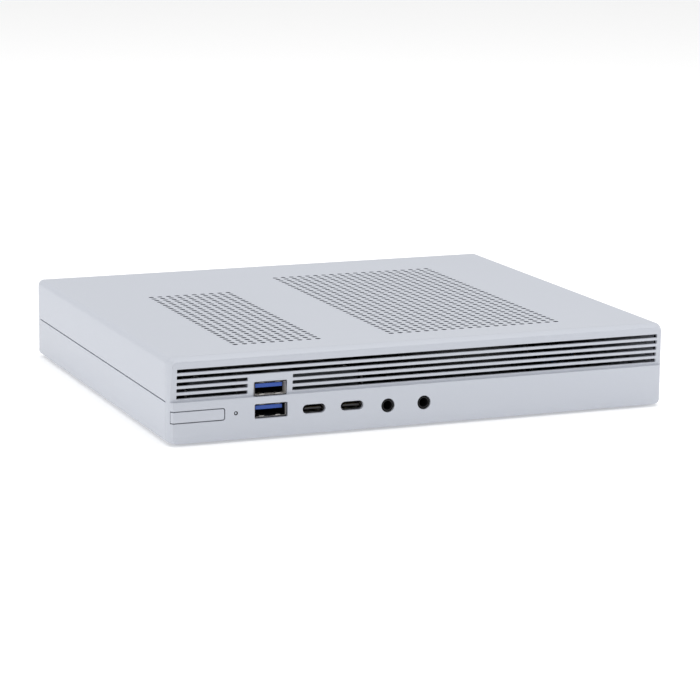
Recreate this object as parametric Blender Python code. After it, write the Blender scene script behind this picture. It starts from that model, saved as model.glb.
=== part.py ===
"""A slim desktop mini PC, built as its separate pieces.

The frame is +Z up with the origin at the bottom centre of the whole machine. The front, with its
air slots, sockets and power key, faces -Y, and +X is on the right for someone facing the front.
Every number below is in millimetres. add_object() scales the finished meshes to metres.
"""
import math

import bmesh
import bpy

# ---- Driving dimensions -------------------------------------------------------------------------
WIDTH = 205.0
DEPTH = 176.0
HEIGHT = 33.0               # with the feet
FOOT_HEIGHT = 1.0           # how far a foot stands out below the case
WALL = 1.6                  # moulded walls of the case
FLOOR = 1.4                 # thickness of the case floor
FIT_GAP = 0.3               # clearance between neighbouring pieces

HALF_WIDTH = WIDTH / 2
FRONT_Y = -DEPTH / 2
REAR_Y = DEPTH / 2
BASE_Z = FOOT_HEIGHT
ROOF_Z = HEIGHT
INNER_X = HALF_WIDTH - WALL
FLOOR_TOP = BASE_Z + FLOOR
ROOF_UNDER = ROOF_Z - WALL

# Case shell
TOP_RADIUS = 2.5            # long upper edges
BOTTOM_RADIUS = 1.5         # long lower edges
FACE_RADIUS = 2.0           # corners of the front face
EDGE = 0.6                  # small rounding at the rear rim
BEZEL_DEPTH = 4.4
BEZEL_REAR_Y = FRONT_Y + BEZEL_DEPTH
TAPER_START = 0.3           # the bezel draws in from this far in front of its rear edge
TAPER_SIDE = 1.3
TAPER_TOP = 1.0
PART_LINE_Z = 16.4          # joint between the cover's side and the lower case
PART_LINE_GAP = 0.5
LIP_TOP = 19.0              # inner lip of the lower case, behind the joint
LIP_THICK = 0.7

# Front face
LEDGE_Z = 16.65             # the slotted upper half leans back and ends on this ledge
GRILLE_LEAN = 1.4           # how far it leans back at the ledge
GRILLE_TOP_Z = 31.2
SLOT_COUNT = 5
SLOT_TOP_Z = 28.4
SLOT_PITCH = 2.49
SLOT_HEIGHT = 1.3
SLOT_LEFT_X = -99.3
SLOT_RIGHT_X = 99.5
FULL_SLOTS = 2              # the upper slots run right across, the others stop at the socket
BREAK_LEFT_X = -71.5
BREAK_RIGHT_X = -53.7
CAVITY_HALF = 100.2
CAVITY_FRONT_Y = FRONT_Y + WALL
GRILLE_BACK_Y = -84.9
GRILLE_BACK_Z = 15.05

# Front sockets
USB_X = -62.55
USB_OPENING = (13.1, 5.6)
USB_LOW_Z = 11.05
USB_STACK_PITCH = 8.3
USB_MOUTH_Y = -87.1         # both front sockets reach into their windows
USB_MOUTH = (12.8, 5.3)
USB_C_X = (-45.4, -30.05)
USB_C_Z = 10.4
USB_C_OPENING = (9.2, 3.5)
JACK_X = (-15.35, -0.45)
JACK_Z = 9.3
JACK_WINDOW_RADIUS = 2.7
LIGHT_X = -76.5
LIGHT_Z = 11.05

# Power key
KEY_RIGHT_X = -81.05
KEY_LOW_Z = 9.0
KEY_HIGH_Z = 13.05
KEY_GAP = 0.35
KEY_THICK = 2.0
KEY_TRAVEL = 0.4
KEY_WRAP_X = -99.6          # left of this the key is only a thin lap round the corner
KEY_WRAP_THICK = 1.0
KEY_CENTRE_X = -92.0
KEY_CENTRE_Z = (KEY_LOW_Z + KEY_HIGH_Z) / 2

# Vent fields in the roof, as columns of slots: first column x, columns, front y, rear y, lengths
VENT_PITCH = 3.71
VENT_WIDTH = 1.8
VENT_BRIDGE = 3.2
LEFT_VENT = (-70.0, 10, -69.8, 33.4, 2)
RIGHT_VENT = (-6.2, 20, -69.6, 59.4, 3)

# Board and what stands on it
BOARD_TOP = 6.6
BOARD_THICK = 1.6
BOARD_BOTTOM = BOARD_TOP - BOARD_THICK
BOARD_HALF_X = 97.0
BOARD_FRONT_Y = -82.5
BOARD_REAR_Y = 78.0
SEAT_Z = BOARD_TOP + FIT_GAP
BOARD_SCREWS = {
    "front_left": (-93.2, -58.0),
    "front_right": (40.0, -76.0),
    "rear_left": (-93.2, 29.0),
    "rear_right": (90.0, 64.5),
}
COOLER_X = 31.0
FAN_Y = -33.0
FAN_RADIUS = 28.0
FAN_BLADES = 24
HEATSINK_Y = 34.0

# Rear panel and sockets
PANEL_FRONT_Y = 84.0
PANEL_REAR_Y = 85.0
PORT_MOUTH_Y = 85.4
THUMB_X = 92.0
THUMB_Z = 26.0
PANEL_SCREW_X = 96.5
PANEL_SCREW_Z = 6.0
REAR_USB_X = (7.0, 26.0)
DISPLAYPORT_X = 47.0
HDMI_X = 68.0
POWER_X = 88.0
POWER_Z = 12.6
LAN_X = -14.0

MM = 0.001
SMOOTH_ANGLE = math.radians(35)


# ---- Mesh helpers -------------------------------------------------------------------------------
PLACE = {
    "X": lambda u, v, t: (t, u, v),
    "Y": lambda u, v, t: (u, t, v),
    "Z": lambda u, v, t: (u, v, t),
}


def arc(centre_u, centre_v, radius, start, end, steps):
    """Points along an arc between two angles in degrees."""
    angles = [math.radians(start + (end - start) * i / steps) for i in range(steps + 1)]
    return [(centre_u + radius * math.cos(a), centre_v + radius * math.sin(a)) for a in angles]


def circle(centre_u, centre_v, radius, steps=24):
    return arc(centre_u, centre_v, radius, 0, 360, steps)[:-1]


def rectangle(u0, u1, v0, v1):
    return [(u0, v0), (u1, v0), (u1, v1), (u0, v1)]


def rounded_rectangle(u0, u1, v0, v1, low, high, steps=4):
    """Rectangle with radius low at its two lower corners and high at its two upper ones."""
    return (
        arc(u0 + low, v0 + low, low, 180, 270, steps)
        + arc(u1 - low, v0 + low, low, 270, 360, steps)
        + arc(u1 - high, v1 - high, high, 0, 90, steps)
        + arc(u0 + high, v1 - high, high, 90, 180, steps)
    )


def add_loft(bm, sections):
    """Closed skin through sections that have the same number of points."""
    rings = [[bm.verts.new(point) for point in section] for section in sections]
    count = len(rings[0])
    for ring, following in zip(rings, rings[1:]):
        for i in range(count):
            j = (i + 1) % count
            bm.faces.new((ring[i], ring[j], following[j], following[i]))
    bm.faces.new(rings[0])
    bm.faces.new(rings[-1])


def add_prism(bm, outline, axis, low, high):
    place = PLACE[axis]
    add_loft(bm, [[place(u, v, t) for u, v in outline] for t in (low, high)])


def add_box(bm, x_range, y_range, z_range):
    add_prism(bm, rectangle(*x_range, *y_range), "Z", *z_range)


def add_rod(bm, axis, centre, radius, low, high, steps=24):
    add_prism(bm, circle(*centre, radius, steps), axis, low, high)


def add_turned(bm, axis, centre, profile, steps=24):
    """Solid of revolution. The profile lists (radius, place along the axis) in order."""
    place = PLACE[axis]
    rings = [[place(u, v, t) for u, v in circle(*centre, radius, steps)] for radius, t in profile]
    add_loft(bm, rings)


def shape(adder, *arguments, **options):
    """One shape in a bmesh of its own."""
    bm = bmesh.new()
    adder(bm, *arguments, **options)
    return bm


def boxes(*ranges):
    bm = bmesh.new()
    for x_range, y_range, z_range in ranges:
        add_box(bm, x_range, y_range, z_range)
    return bm


# ---- Objects ------------------------------------------------------------------------------------
MATERIALS = {}


def material(name, colour, roughness, metallic=0.0):
    """A Principled material with one colour, made once for each name."""
    if name not in MATERIALS:
        made = bpy.data.materials.new(name)
        made.use_nodes = True
        shader = made.node_tree.nodes["Principled BSDF"]
        shader.inputs["Base Color"].default_value = (*colour, 1.0)
        shader.inputs["Roughness"].default_value = roughness
        shader.inputs["Metallic"].default_value = metallic
        made.diffuse_color = (*colour, 1.0)
        MATERIALS[name] = made
    return MATERIALS[name]


def case_plastic():
    return material("case_plastic", (0.60, 0.64, 0.70), 0.5)


def steel():
    return material("steel", (0.55, 0.56, 0.58), 0.35, 1.0)


def screw_steel():
    return material("screw_steel", (0.30, 0.31, 0.33), 0.3, 1.0)


def black_plastic():
    return material("black_plastic", (0.02, 0.02, 0.022), 0.5)


def mesh_object(name, bm, origin):
    """Turns a bmesh in millimetres into an object whose origin is at the given place."""
    bmesh.ops.recalc_face_normals(bm, faces=bm.faces)
    for vertex in bm.verts:
        vertex.co = [(vertex.co[k] - origin[k]) * MM for k in range(3)]
    mesh = bpy.data.meshes.new(name)
    bm.to_mesh(mesh)
    bm.free()
    made = bpy.data.objects.new(name, mesh)
    bpy.context.scene.collection.objects.link(made)
    return made


def axis_empty(name, place):
    """A bare guide point that stands on a joint's axis and carries the moving piece."""
    empty = bpy.data.objects.new(name, None)
    empty.location = [value * MM for value in place]
    bpy.context.scene.collection.objects.link(empty)
    return empty


def add_object(name, bm, finish, steps=(), smooth=False, origin=(0.0, 0.0, 0.0), parent=None):
    """Makes a named piece. steps lists (operation, bmesh) Booleans in their working order."""
    made = mesh_object(name, bm, origin)
    if smooth:
        made.data.shade_smooth()
        made.data.set_sharp_from_angle(angle=SMOOTH_ANGLE)
    made.data.materials.append(finish)
    offset = parent.location if parent else (0.0, 0.0, 0.0)
    made.location = [origin[k] * MM - offset[k] for k in range(3)]
    made.parent = parent
    for number, (operation, tool) in enumerate(steps):
        cutter = mesh_object(f"guide_{name}_{number}", tool, (0.0, 0.0, 0.0))
        cutter.hide_render = True
        cutter.display_type = "WIRE"
        modifier = made.modifiers.new(f"{operation.lower()}_{number}", "BOOLEAN")
        modifier.operation = operation
        modifier.solver = "EXACT"
        modifier.object = cutter
    return made


# ---- Case ---------------------------------------------------------------------------------------
def bezel_section(y, draw, edge):
    """Outline of the bezel's skin at y. draw runs from 0 at full size to 1 at the face."""
    side = HALF_WIDTH - TAPER_SIDE * draw - edge
    low = BASE_Z + edge
    high = ROOF_Z - TAPER_TOP * draw - edge
    lower_radius = BOTTOM_RADIUS + (FACE_RADIUS - BOTTOM_RADIUS) * draw
    upper_radius = TOP_RADIUS + (FACE_RADIUS - TOP_RADIUS) * draw
    outline = rounded_rectangle(-side, side, low, high, lower_radius, upper_radius)
    return [(x, y, z) for x, z in outline]


def bezel_skin():
    """Outer form of the front moulding: a block that draws in softly towards its face."""
    face_edge = 0.4
    start_y = BEZEL_REAR_Y - TAPER_START
    end_y = FRONT_Y + face_edge
    sections = [bezel_section(BEZEL_REAR_Y, 0.0, 0.0)]
    taper_steps = 3
    for step in range(taper_steps + 1):
        part = step / taper_steps
        sections.append(bezel_section(start_y + (end_y - start_y) * part, part ** 2, 0.0))
    sections.append(bezel_section(FRONT_Y, 1.0, face_edge))
    return shape(add_loft, sections)


def slot_z(row):
    return SLOT_TOP_Z - row * SLOT_PITCH


def bezel_cutters():
    """What is cut from the bezel: hollow, leaning upper half, air slots, windows, key notch."""
    beyond = 1.0
    hollow = boxes(
        ((-CAVITY_HALF, CAVITY_HALF), (CAVITY_FRONT_Y, BEZEL_REAR_Y + beyond),
         (BASE_Z + WALL, GRILLE_BACK_Z)))
    upper = boxes(
        ((-CAVITY_HALF, CAVITY_HALF), (GRILLE_BACK_Y, BEZEL_REAR_Y + beyond),
         (GRILLE_BACK_Z - beyond, ROOF_Z - TAPER_TOP - WALL)))
    slope = GRILLE_LEAN / (GRILLE_TOP_Z - LEDGE_Z)
    top_z = GRILLE_TOP_Z + beyond
    lean = shape(
        add_prism,
        [(FRONT_Y - slope * beyond, top_z), (FRONT_Y + GRILLE_LEAN, LEDGE_Z),
         (FRONT_Y - beyond, LEDGE_Z), (FRONT_Y - beyond, top_z)],
        "X", -HALF_WIDTH - beyond, HALF_WIDTH + beyond)

    slots = bmesh.new()
    through = (FRONT_Y - beyond, GRILLE_BACK_Y + beyond)
    for row in range(SLOT_COUNT):
        low = slot_z(row) - SLOT_HEIGHT / 2
        spans = [(SLOT_LEFT_X, SLOT_RIGHT_X)]
        if row >= FULL_SLOTS:
            spans = [(SLOT_LEFT_X, BREAK_LEFT_X), (BREAK_RIGHT_X, SLOT_RIGHT_X)]
        for span in spans:
            add_box(slots, span, through, (low, low + SLOT_HEIGHT))

    windows = bmesh.new()
    half_width, half_height = USB_OPENING[0] / 2, USB_OPENING[1] / 2
    for level in range(2):
        centre = USB_LOW_Z + USB_STACK_PITCH * level
        add_box(windows, (USB_X - half_width, USB_X + half_width), through,
                (centre - half_height, centre + half_height))
    half_width, radius = USB_C_OPENING[0] / 2, USB_C_OPENING[1] / 2
    for x in USB_C_X:
        add_prism(windows, rounded_rectangle(x - half_width, x + half_width, USB_C_Z - radius,
                                             USB_C_Z + radius, radius - 0.01, radius - 0.01),
                  "Y", *through)
    for x in JACK_X:
        add_rod(windows, "Y", (x, JACK_Z), JACK_WINDOW_RADIUS, *through)
    add_rod(windows, "Y", (LIGHT_X, LIGHT_Z), 0.75, *through, steps=12)

    play = KEY_TRAVEL + 0.05
    notch_z = (KEY_LOW_Z - KEY_GAP, KEY_HIGH_Z + KEY_GAP)
    notch = boxes(((KEY_WRAP_X - KEY_GAP, KEY_RIGHT_X + KEY_GAP),
                   (FRONT_Y - beyond, FRONT_Y + KEY_THICK + play), notch_z))
    lap = boxes(((-HALF_WIDTH - beyond, KEY_WRAP_X),
                 (FRONT_Y - beyond, FRONT_Y + KEY_WRAP_THICK + play), notch_z))
    return [hollow, upper, lean, slots, windows, notch, lap]


def front_bezel():
    steps = [("DIFFERENCE", cutter) for cutter in bezel_cutters()]
    add_object("front_bezel", bezel_skin(), case_plastic(), steps, parent=COVER_GUIDE)


def top_cover_section(y, edge):
    """Upside-down U: the roof and both upper sides. edge draws in the outer skin."""
    side = HALF_WIDTH - edge
    top = ROOF_Z - edge
    foot = PART_LINE_Z + PART_LINE_GAP / 2
    inner_radius = TOP_RADIUS - WALL
    outline = (
        [(-side, foot)]
        + arc(-side + TOP_RADIUS, top - TOP_RADIUS, TOP_RADIUS, 180, 90, 4)
        + arc(side - TOP_RADIUS, top - TOP_RADIUS, TOP_RADIUS, 90, 0, 4)
        + [(side, foot), (INNER_X, foot)]
        + arc(INNER_X - inner_radius, ROOF_UNDER - inner_radius, inner_radius, 0, 90, 2)
        + arc(-INNER_X + inner_radius, ROOF_UNDER - inner_radius, inner_radius, 90, 180, 2)
        + [(-INNER_X, foot)]
    )
    return [(x, y, z) for x, z in outline]


def vent_slots(first_x, columns, front_y, rear_y, lengths):
    """Columns of long slots through the roof, each broken by bridges."""
    bm = bmesh.new()
    length = (rear_y - front_y - VENT_BRIDGE * (lengths - 1)) / lengths
    for column in range(columns):
        x = first_x + column * VENT_PITCH
        for part in range(lengths):
            y = front_y + part * (length + VENT_BRIDGE)
            add_box(bm, (x - VENT_WIDTH / 2, x + VENT_WIDTH / 2), (y, y + length),
                    (ROOF_UNDER - 1.0, ROOF_Z + 1.0))
    return bm


def top_cover():
    body = shape(add_loft, [
        top_cover_section(BEZEL_REAR_Y + FIT_GAP, 0.0),
        top_cover_section(REAR_Y - EDGE, 0.0),
        top_cover_section(REAR_Y, EDGE),
    ])
    boss_rear_y = PANEL_FRONT_Y - FIT_GAP
    bosses = boxes(*[((side * THUMB_X - 4.0, side * THUMB_X + 4.0), (boss_rear_y - 6.0, boss_rear_y),
                      (THUMB_Z - 4.0, ROOF_UNDER + 0.5)) for side in (-1, 1)])
    threads = bmesh.new()
    for side in (-1, 1):
        add_rod(threads, "Y", (side * THUMB_X, THUMB_Z), 1.8, boss_rear_y - 7.0, boss_rear_y + 1.0)
    steps = [
        ("UNION", bosses),
        ("DIFFERENCE", threads),
        ("DIFFERENCE", vent_slots(*LEFT_VENT)),
        ("DIFFERENCE", vent_slots(*RIGHT_VENT)),
    ]
    add_object("top_cover", body, case_plastic(), steps, parent=COVER_GUIDE)


def chassis_section(y, edge):
    """The lower case: floor, two sides, and a lip that stands up behind the joint line."""
    side = HALF_WIDTH - edge
    base = BASE_Z + edge
    top = PART_LINE_Z - PART_LINE_GAP / 2
    lip_outer = INNER_X - FIT_GAP
    lip_inner = lip_outer - LIP_THICK
    right_inner = [(lip_outer, top), (lip_outer, LIP_TOP), (lip_inner, LIP_TOP), (lip_inner, 14.0),
                   (INNER_X, 13.0), (INNER_X, FLOOR_TOP)]
    left_inner = [(-x, z) for x, z in reversed(right_inner)]
    outline = (
        [(-side, top)]
        + arc(-side + BOTTOM_RADIUS, base + BOTTOM_RADIUS, BOTTOM_RADIUS, 180, 270, 4)
        + arc(side - BOTTOM_RADIUS, base + BOTTOM_RADIUS, BOTTOM_RADIUS, 270, 360, 4)
        + [(side, top)] + right_inner + left_inner
    )
    return [(x, y, z) for x, z in outline]


FOOT_PLACES = {
    "front_left": (-88.0, -68.0),
    "front_right": (88.0, -68.0),
    "rear_left": (-88.0, 72.0),
    "rear_right": (88.0, 72.0),
}
FOOT_RADIUS = 6.5
FOOT_RECESS = 0.6
BRACKET_HOLE_HALF = 37.5    # threaded holes for a display bracket, 75 mm apart


def bottom_chassis():
    body = shape(add_loft, [
        chassis_section(BEZEL_REAR_Y + FIT_GAP, 0.0),
        chassis_section(REAR_Y - EDGE, 0.0),
        chassis_section(REAR_Y, EDGE),
    ])
    posts = bmesh.new()
    holes = bmesh.new()
    for place in BOARD_SCREWS.values():
        add_rod(posts, "Z", place, 3.0, FLOOR_TOP - 0.5, BOARD_BOTTOM - FIT_GAP, steps=16)
        add_rod(holes, "Z", place, 1.5, FLOOR_TOP, BOARD_BOTTOM + 1.0, steps=16)
    for side_x in (-1, 1):
        for side_y in (-1, 1):
            place = (side_x * BRACKET_HOLE_HALF, side_y * BRACKET_HOLE_HALF)
            add_rod(posts, "Z", place, 3.6, FLOOR_TOP - 0.5, FLOOR_TOP + 2.0, steps=16)
            add_rod(holes, "Z", place, 1.8, BASE_Z - 1.0, FLOOR_TOP + 3.0, steps=16)
    boss_rear_y = PANEL_FRONT_Y - FIT_GAP
    for side in (-1, 1):
        x = side * PANEL_SCREW_X
        add_box(posts, (x - 2.6, x + 2.6), (BOARD_REAR_Y + FIT_GAP, boss_rear_y),
                (FLOOR_TOP - 0.5, PANEL_SCREW_Z + 3.0))
        add_rod(holes, "Y", (x, PANEL_SCREW_Z), 1.4, boss_rear_y - 4.5, boss_rear_y + 1.0, steps=16)
    for place in FOOT_PLACES.values():
        add_rod(holes, "Z", place, FOOT_RADIUS + 0.4, BASE_Z - 1.0, BASE_Z + FOOT_RECESS)
    vents = bmesh.new()
    vent_count = 9
    for number in range(vent_count):
        x = COOLER_X + (number - (vent_count - 1) / 2) * 7.0
        for centre_y in (-8.0, 62.0):
            add_box(vents, (x - 1.5, x + 1.5), (centre_y - 14.0, centre_y + 14.0),
                    (BASE_Z - 1.0, FLOOR_TOP + 1.0))
    steps = [("UNION", posts), ("DIFFERENCE", holes), ("DIFFERENCE", vents)]
    add_object("bottom_chassis", body, case_plastic(), steps)


def feet():
    rubber = material("foot_rubber", (0.03, 0.03, 0.03), 0.9)
    for name, place in FOOT_PLACES.items():
        profile = [(FOOT_RADIUS - 0.6, 0.0), (FOOT_RADIUS, 0.5),
                   (FOOT_RADIUS, BASE_Z + FOOT_RECESS - FIT_GAP)]
        add_object(f"foot_{name}", shape(add_turned, "Z", place, profile), rubber, smooth=True)


# ---- Power key and status light -----------------------------------------------------------------
def power_key():
    """The key is cut from the bezel's own skin, so it follows the case round the left corner."""
    key_back = FRONT_Y + KEY_THICK
    block = boxes(((-HALF_WIDTH - 1.0, KEY_RIGHT_X), (FRONT_Y - 1.0, key_back),
                   (KEY_LOW_Z, KEY_HIGH_Z)))
    lap_relief = boxes(((-HALF_WIDTH - 1.0, KEY_WRAP_X), (FRONT_Y + KEY_WRAP_THICK, key_back + 1.0),
                        (KEY_LOW_Z - 1.0, KEY_HIGH_Z + 1.0)))
    flange = boxes(((-98.5, KEY_RIGHT_X + 1.6), (key_back - 0.15, key_back + 0.8),
                    (KEY_LOW_Z - 1.4, GRILLE_BACK_Z - 0.4)))
    stem = boxes(((KEY_CENTRE_X - 1.2, KEY_CENTRE_X + 1.2), (key_back + 0.5, -81.3),
                  (KEY_CENTRE_Z - 1.2, KEY_CENTRE_Z + 1.2)))
    steps = [("INTERSECT", block), ("DIFFERENCE", lap_relief), ("UNION", flange), ("UNION", stem)]
    add_object("power_button", bezel_skin(), case_plastic(), steps, parent=KEY_GUIDE,
               origin=(KEY_CENTRE_X, FRONT_Y, KEY_CENTRE_Z))


def power_switch():
    """A small switch on the board's front edge, with its own sprung plunger."""
    half = 3.0
    body = boxes(((KEY_CENTRE_X - half, KEY_CENTRE_X + half), (-79.5, -75.0),
                  (SEAT_Z, KEY_CENTRE_Z + half)))
    bore = shape(add_rod, "Y", (KEY_CENTRE_X, KEY_CENTRE_Z), 1.4, -80.5, -76.5)
    add_object("power_switch", body, black_plastic(), [("DIFFERENCE", bore)])
    rod = shape(add_rod, "Y", (KEY_CENTRE_X, KEY_CENTRE_Z), 1.0, -81.0, -77.3)
    add_object("power_switch_plunger", rod, material("plunger_plastic", (0.6, 0.1, 0.08), 0.5),
               smooth=True, origin=(KEY_CENTRE_X, -81.0, KEY_CENTRE_Z))


def status_light():
    clear = material("light_pipe", (0.85, 0.9, 0.95), 0.2)
    profile = [(0.45, FRONT_Y + 0.15), (0.45, -85.6), (1.0, -85.4), (1.0, -80.8)]
    body = shape(add_turned, "Y", (LIGHT_X, LIGHT_Z), profile, steps=12)
    add_object("status_light_pipe", body, clear, smooth=True, parent=COVER_GUIDE)


# ---- Front sockets ------------------------------------------------------------------------------
STACK_WIDTH = 14.8
STACK_TOP = 23.9
STACK_LENGTH = 17.5
STACK_DEPTH = 12.5


def stack_parts(centre_x, mouth_y, facing, shoulder=0.0):
    """Shell, mouths, openings and tongues of two sockets, one above the other.

    facing is -1 or 1 in Y. shoulder is how far the mouths stand out in front of the shell.
    """
    def span(start, end):
        return tuple(sorted((mouth_y - facing * start, mouth_y - facing * end)))

    shell = boxes(((centre_x - STACK_WIDTH / 2, centre_x + STACK_WIDTH / 2), span(shoulder, STACK_LENGTH),
                   (SEAT_Z, STACK_TOP)))
    mouths = bmesh.new()
    openings = bmesh.new()
    half_width, half_height = USB_MOUTH[0] / 2, USB_MOUTH[1] / 2
    skin = 0.3
    tongues = []
    for level in range(2):
        centre = USB_LOW_Z + USB_STACK_PITCH * level
        add_box(mouths, (centre_x - half_width, centre_x + half_width), span(0, shoulder + 1.0),
                (centre - half_height, centre + half_height))
        inner = (centre_x - half_width + skin, centre_x + half_width - skin)
        add_box(openings, inner, span(-1.0, STACK_DEPTH),
                (centre - half_height + skin, centre + half_height - skin))
        tongues.append(((centre_x - 5.5, centre_x + 5.5), span(1.2, STACK_DEPTH - FIT_GAP),
                        (centre - 0.1, centre + 1.8)))
    return shell, mouths, openings, tongues


def front_usb():
    blue = material("usb_tongue_blue", (0.03, 0.09, 0.5), 0.4)
    shell, mouths, openings, tongues = stack_parts(USB_X, USB_MOUTH_Y, -1, shoulder=2.6)
    add_object("front_usb_shell", shell, steel(), [("UNION", mouths), ("DIFFERENCE", openings)])
    for name, ranges in zip(("lower", "upper"), tongues):
        add_object(f"front_usb_tongue_{name}", boxes(ranges), blue)


def stadium(centre_x, centre_z, width, height):
    radius = height / 2 - 0.01
    return rounded_rectangle(centre_x - width / 2, centre_x + width / 2, centre_z - height / 2,
                             centre_z + height / 2, radius, radius)


def front_usb_c():
    for name, x in zip(("left", "right"), USB_C_X):
        shell = shape(add_prism, stadium(x, USB_C_Z, 8.9, 3.2), "Y", -87.0, -78.0)
        mouth = shape(add_prism, stadium(x, USB_C_Z, 8.3, 2.6), "Y", -88.0, -79.0)
        foot = boxes(((x - 4.0, x + 4.0), (-82.0, -78.2), (SEAT_Z, USB_C_Z - 1.45)))
        add_object(f"front_usb_c_shell_{name}", shell, steel(),
                   [("UNION", foot), ("DIFFERENCE", mouth)], smooth=True)
        tongue = boxes(((x - 3.3, x + 3.3), (-86.6, -79.3), (USB_C_Z - 0.35, USB_C_Z + 0.35)))
        add_object(f"front_usb_c_tongue_{name}", tongue, black_plastic())


def audio_jacks():
    for name, x in zip(("headphone_jack", "microphone_jack"), JACK_X):
        body = boxes(((x - 3.2, x + 3.2), (-84.6, -73.0), (SEAT_Z, JACK_Z + 2.9)))
        barrel = shape(add_rod, "Y", (x, JACK_Z), 2.25, -87.4, -84.0)
        bore = shape(add_rod, "Y", (x, JACK_Z), 1.75, -88.5, -74.0)
        add_object(name, body, black_plastic(), [("UNION", barrel), ("DIFFERENCE", bore)])


# ---- Board --------------------------------------------------------------------------------------
def add_screw(bm, axis, place, seat, direction, head=(2.6, 1.8), shank=(1.2, 4.0)):
    """Pan head screw with a shank and a driver socket. seat is where the head's underside is."""
    head_radius, head_height = head
    shank_radius, shank_length = shank
    top = seat + direction * head_height
    profile = [
        (shank_radius, seat - direction * shank_length),
        (shank_radius, seat),
        (head_radius, seat),
        (head_radius, seat + direction * head_height * 0.5),
        (head_radius * 0.75, top),
        (head_radius * 0.45, top),
        (head_radius * 0.4, top - direction * head_height * 0.5),
    ]
    add_turned(bm, axis, place, profile, steps=12)


def motherboard():
    green = material("board_laminate", (0.01, 0.10, 0.06), 0.45)
    outline = rounded_rectangle(-BOARD_HALF_X, BOARD_HALF_X, BOARD_FRONT_Y, BOARD_REAR_Y, 2.0, 2.0, 2)
    board = shape(add_prism, outline, "Z", BOARD_BOTTOM, BOARD_TOP)
    holes = bmesh.new()
    for place in BOARD_SCREWS.values():
        add_rod(holes, "Z", place, 1.7, BOARD_BOTTOM - 1.0, BOARD_TOP + 1.0, steps=16)
    add_object("motherboard", board, green, [("DIFFERENCE", holes)])
    for name, place in BOARD_SCREWS.items():
        screw = shape(add_screw, "Z", place, SEAT_Z, 1, shank=(1.1, 4.0))
        add_object(f"board_screw_{name}", screw, screw_steel(), smooth=True)


def processor():
    socket = boxes(((COOLER_X - 26.0, COOLER_X + 26.0), (HEATSINK_Y - 21.0, HEATSINK_Y + 21.0),
                    (SEAT_Z, 10.6)))
    well = boxes(((COOLER_X - 22.9, COOLER_X + 22.9), (HEATSINK_Y - 19.1, HEATSINK_Y + 19.1),
                  (9.4, 12.0)))
    add_object("cpu_socket", socket, material("socket_plastic", (0.09, 0.09, 0.1), 0.6),
               [("DIFFERENCE", well)])
    package = boxes(((COOLER_X - 22.5, COOLER_X + 22.5), (HEATSINK_Y - 18.7, HEATSINK_Y + 18.7),
                     (9.7, 10.9)))
    lid = boxes(((COOLER_X - 18.0, COOLER_X + 18.0), (HEATSINK_Y - 14.5, HEATSINK_Y + 14.5),
                 (10.5, 12.9)))
    add_object("cpu", package, material("cpu_nickel", (0.62, 0.62, 0.63), 0.25, 1.0), [("UNION", lid)])


HEATSINK_HALF = (35.0, 28.0)
HEATSINK_BASE = (13.2, 15.2)
HEATSINK_TOP = 28.0
FIN_PITCH = 2.8
FIN_THICK = 0.8
SINK_SCREW_INSET = 5.0


def heatsink():
    """Base plate with straight fins that run from the fan to the rear vents."""
    aluminium = material("heatsink_aluminium", (0.75, 0.76, 0.78), 0.35, 1.0)
    half_x, half_y = HEATSINK_HALF
    base_low, base_high = HEATSINK_BASE
    fins = int(2 * half_x / FIN_PITCH)
    start = COOLER_X - (fins - 1) * FIN_PITCH / 2 - FIN_THICK / 2
    outline = [(COOLER_X - half_x, base_low), (COOLER_X + half_x, base_low),
               (COOLER_X + half_x, base_high)]
    for fin in reversed(range(fins)):
        left = start + fin * FIN_PITCH
        outline += [(left + FIN_THICK, base_high), (left + FIN_THICK, HEATSINK_TOP),
                    (left, HEATSINK_TOP), (left, base_high)]
    outline.append((COOLER_X - half_x, base_high))
    body = shape(add_prism, outline, "Y", HEATSINK_Y - half_y, HEATSINK_Y + half_y)
    corners = bmesh.new()
    holes = bmesh.new()
    for name, place in sink_screw_places().items():
        side_x = 1 if "right" in name else -1
        side_y = 1 if "rear" in name else -1
        outer = (COOLER_X + side_x * (half_x + 1.0), HEATSINK_Y + side_y * (half_y + 1.0))
        inner = (outer[0] - side_x * 10.2, outer[1] - side_y * 10.0)
        add_box(corners, sorted((outer[0], inner[0])), sorted((outer[1], inner[1])),
                (base_high, HEATSINK_TOP + 1.0))
        add_rod(holes, "Z", place, 1.6, base_low - 1.0, base_high + 1.0, steps=12)
    add_object("heatsink", body, aluminium, [("DIFFERENCE", corners), ("DIFFERENCE", holes)])
    for name, place in sink_screw_places().items():
        screw = shape(add_screw, "Z", place, base_high + FIT_GAP, 1, head=(2.8, 2.4),
                      shank=(1.2, base_high - SEAT_Z))
        add_object(f"heatsink_screw_{name}", screw, screw_steel(), smooth=True)


def sink_screw_places():
    reach_x = HEATSINK_HALF[0] - SINK_SCREW_INSET
    reach_y = HEATSINK_HALF[1] - SINK_SCREW_INSET
    return {
        f"{row}_{side}": (COOLER_X + sign_x * reach_x, HEATSINK_Y + sign_y * reach_y)
        for row, sign_y in (("front", -1), ("rear", 1))
        for side, sign_x in (("left", -1), ("right", 1))
    }


# ---- Fan ----------------------------------------------------------------------------------------
BLOWER_RADIUS = 35.0
BLOWER_LOW = 9.5
BLOWER_HIGH = 24.5
BLOWER_WALL = 1.2
BLOWER_MOUTH_Y = 4.0
INLET_RADIUS = 24.0
HUB_RADIUS = 12.0
HUB_LOW = 12.0
HUB_HIGH = 21.0


def blower_outline(inset, mouth_y):
    radius = BLOWER_RADIUS - inset
    return ([(COOLER_X + radius, mouth_y), (COOLER_X - radius, mouth_y)]
            + arc(COOLER_X, FAN_Y, radius, 180, 360, 20))


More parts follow.
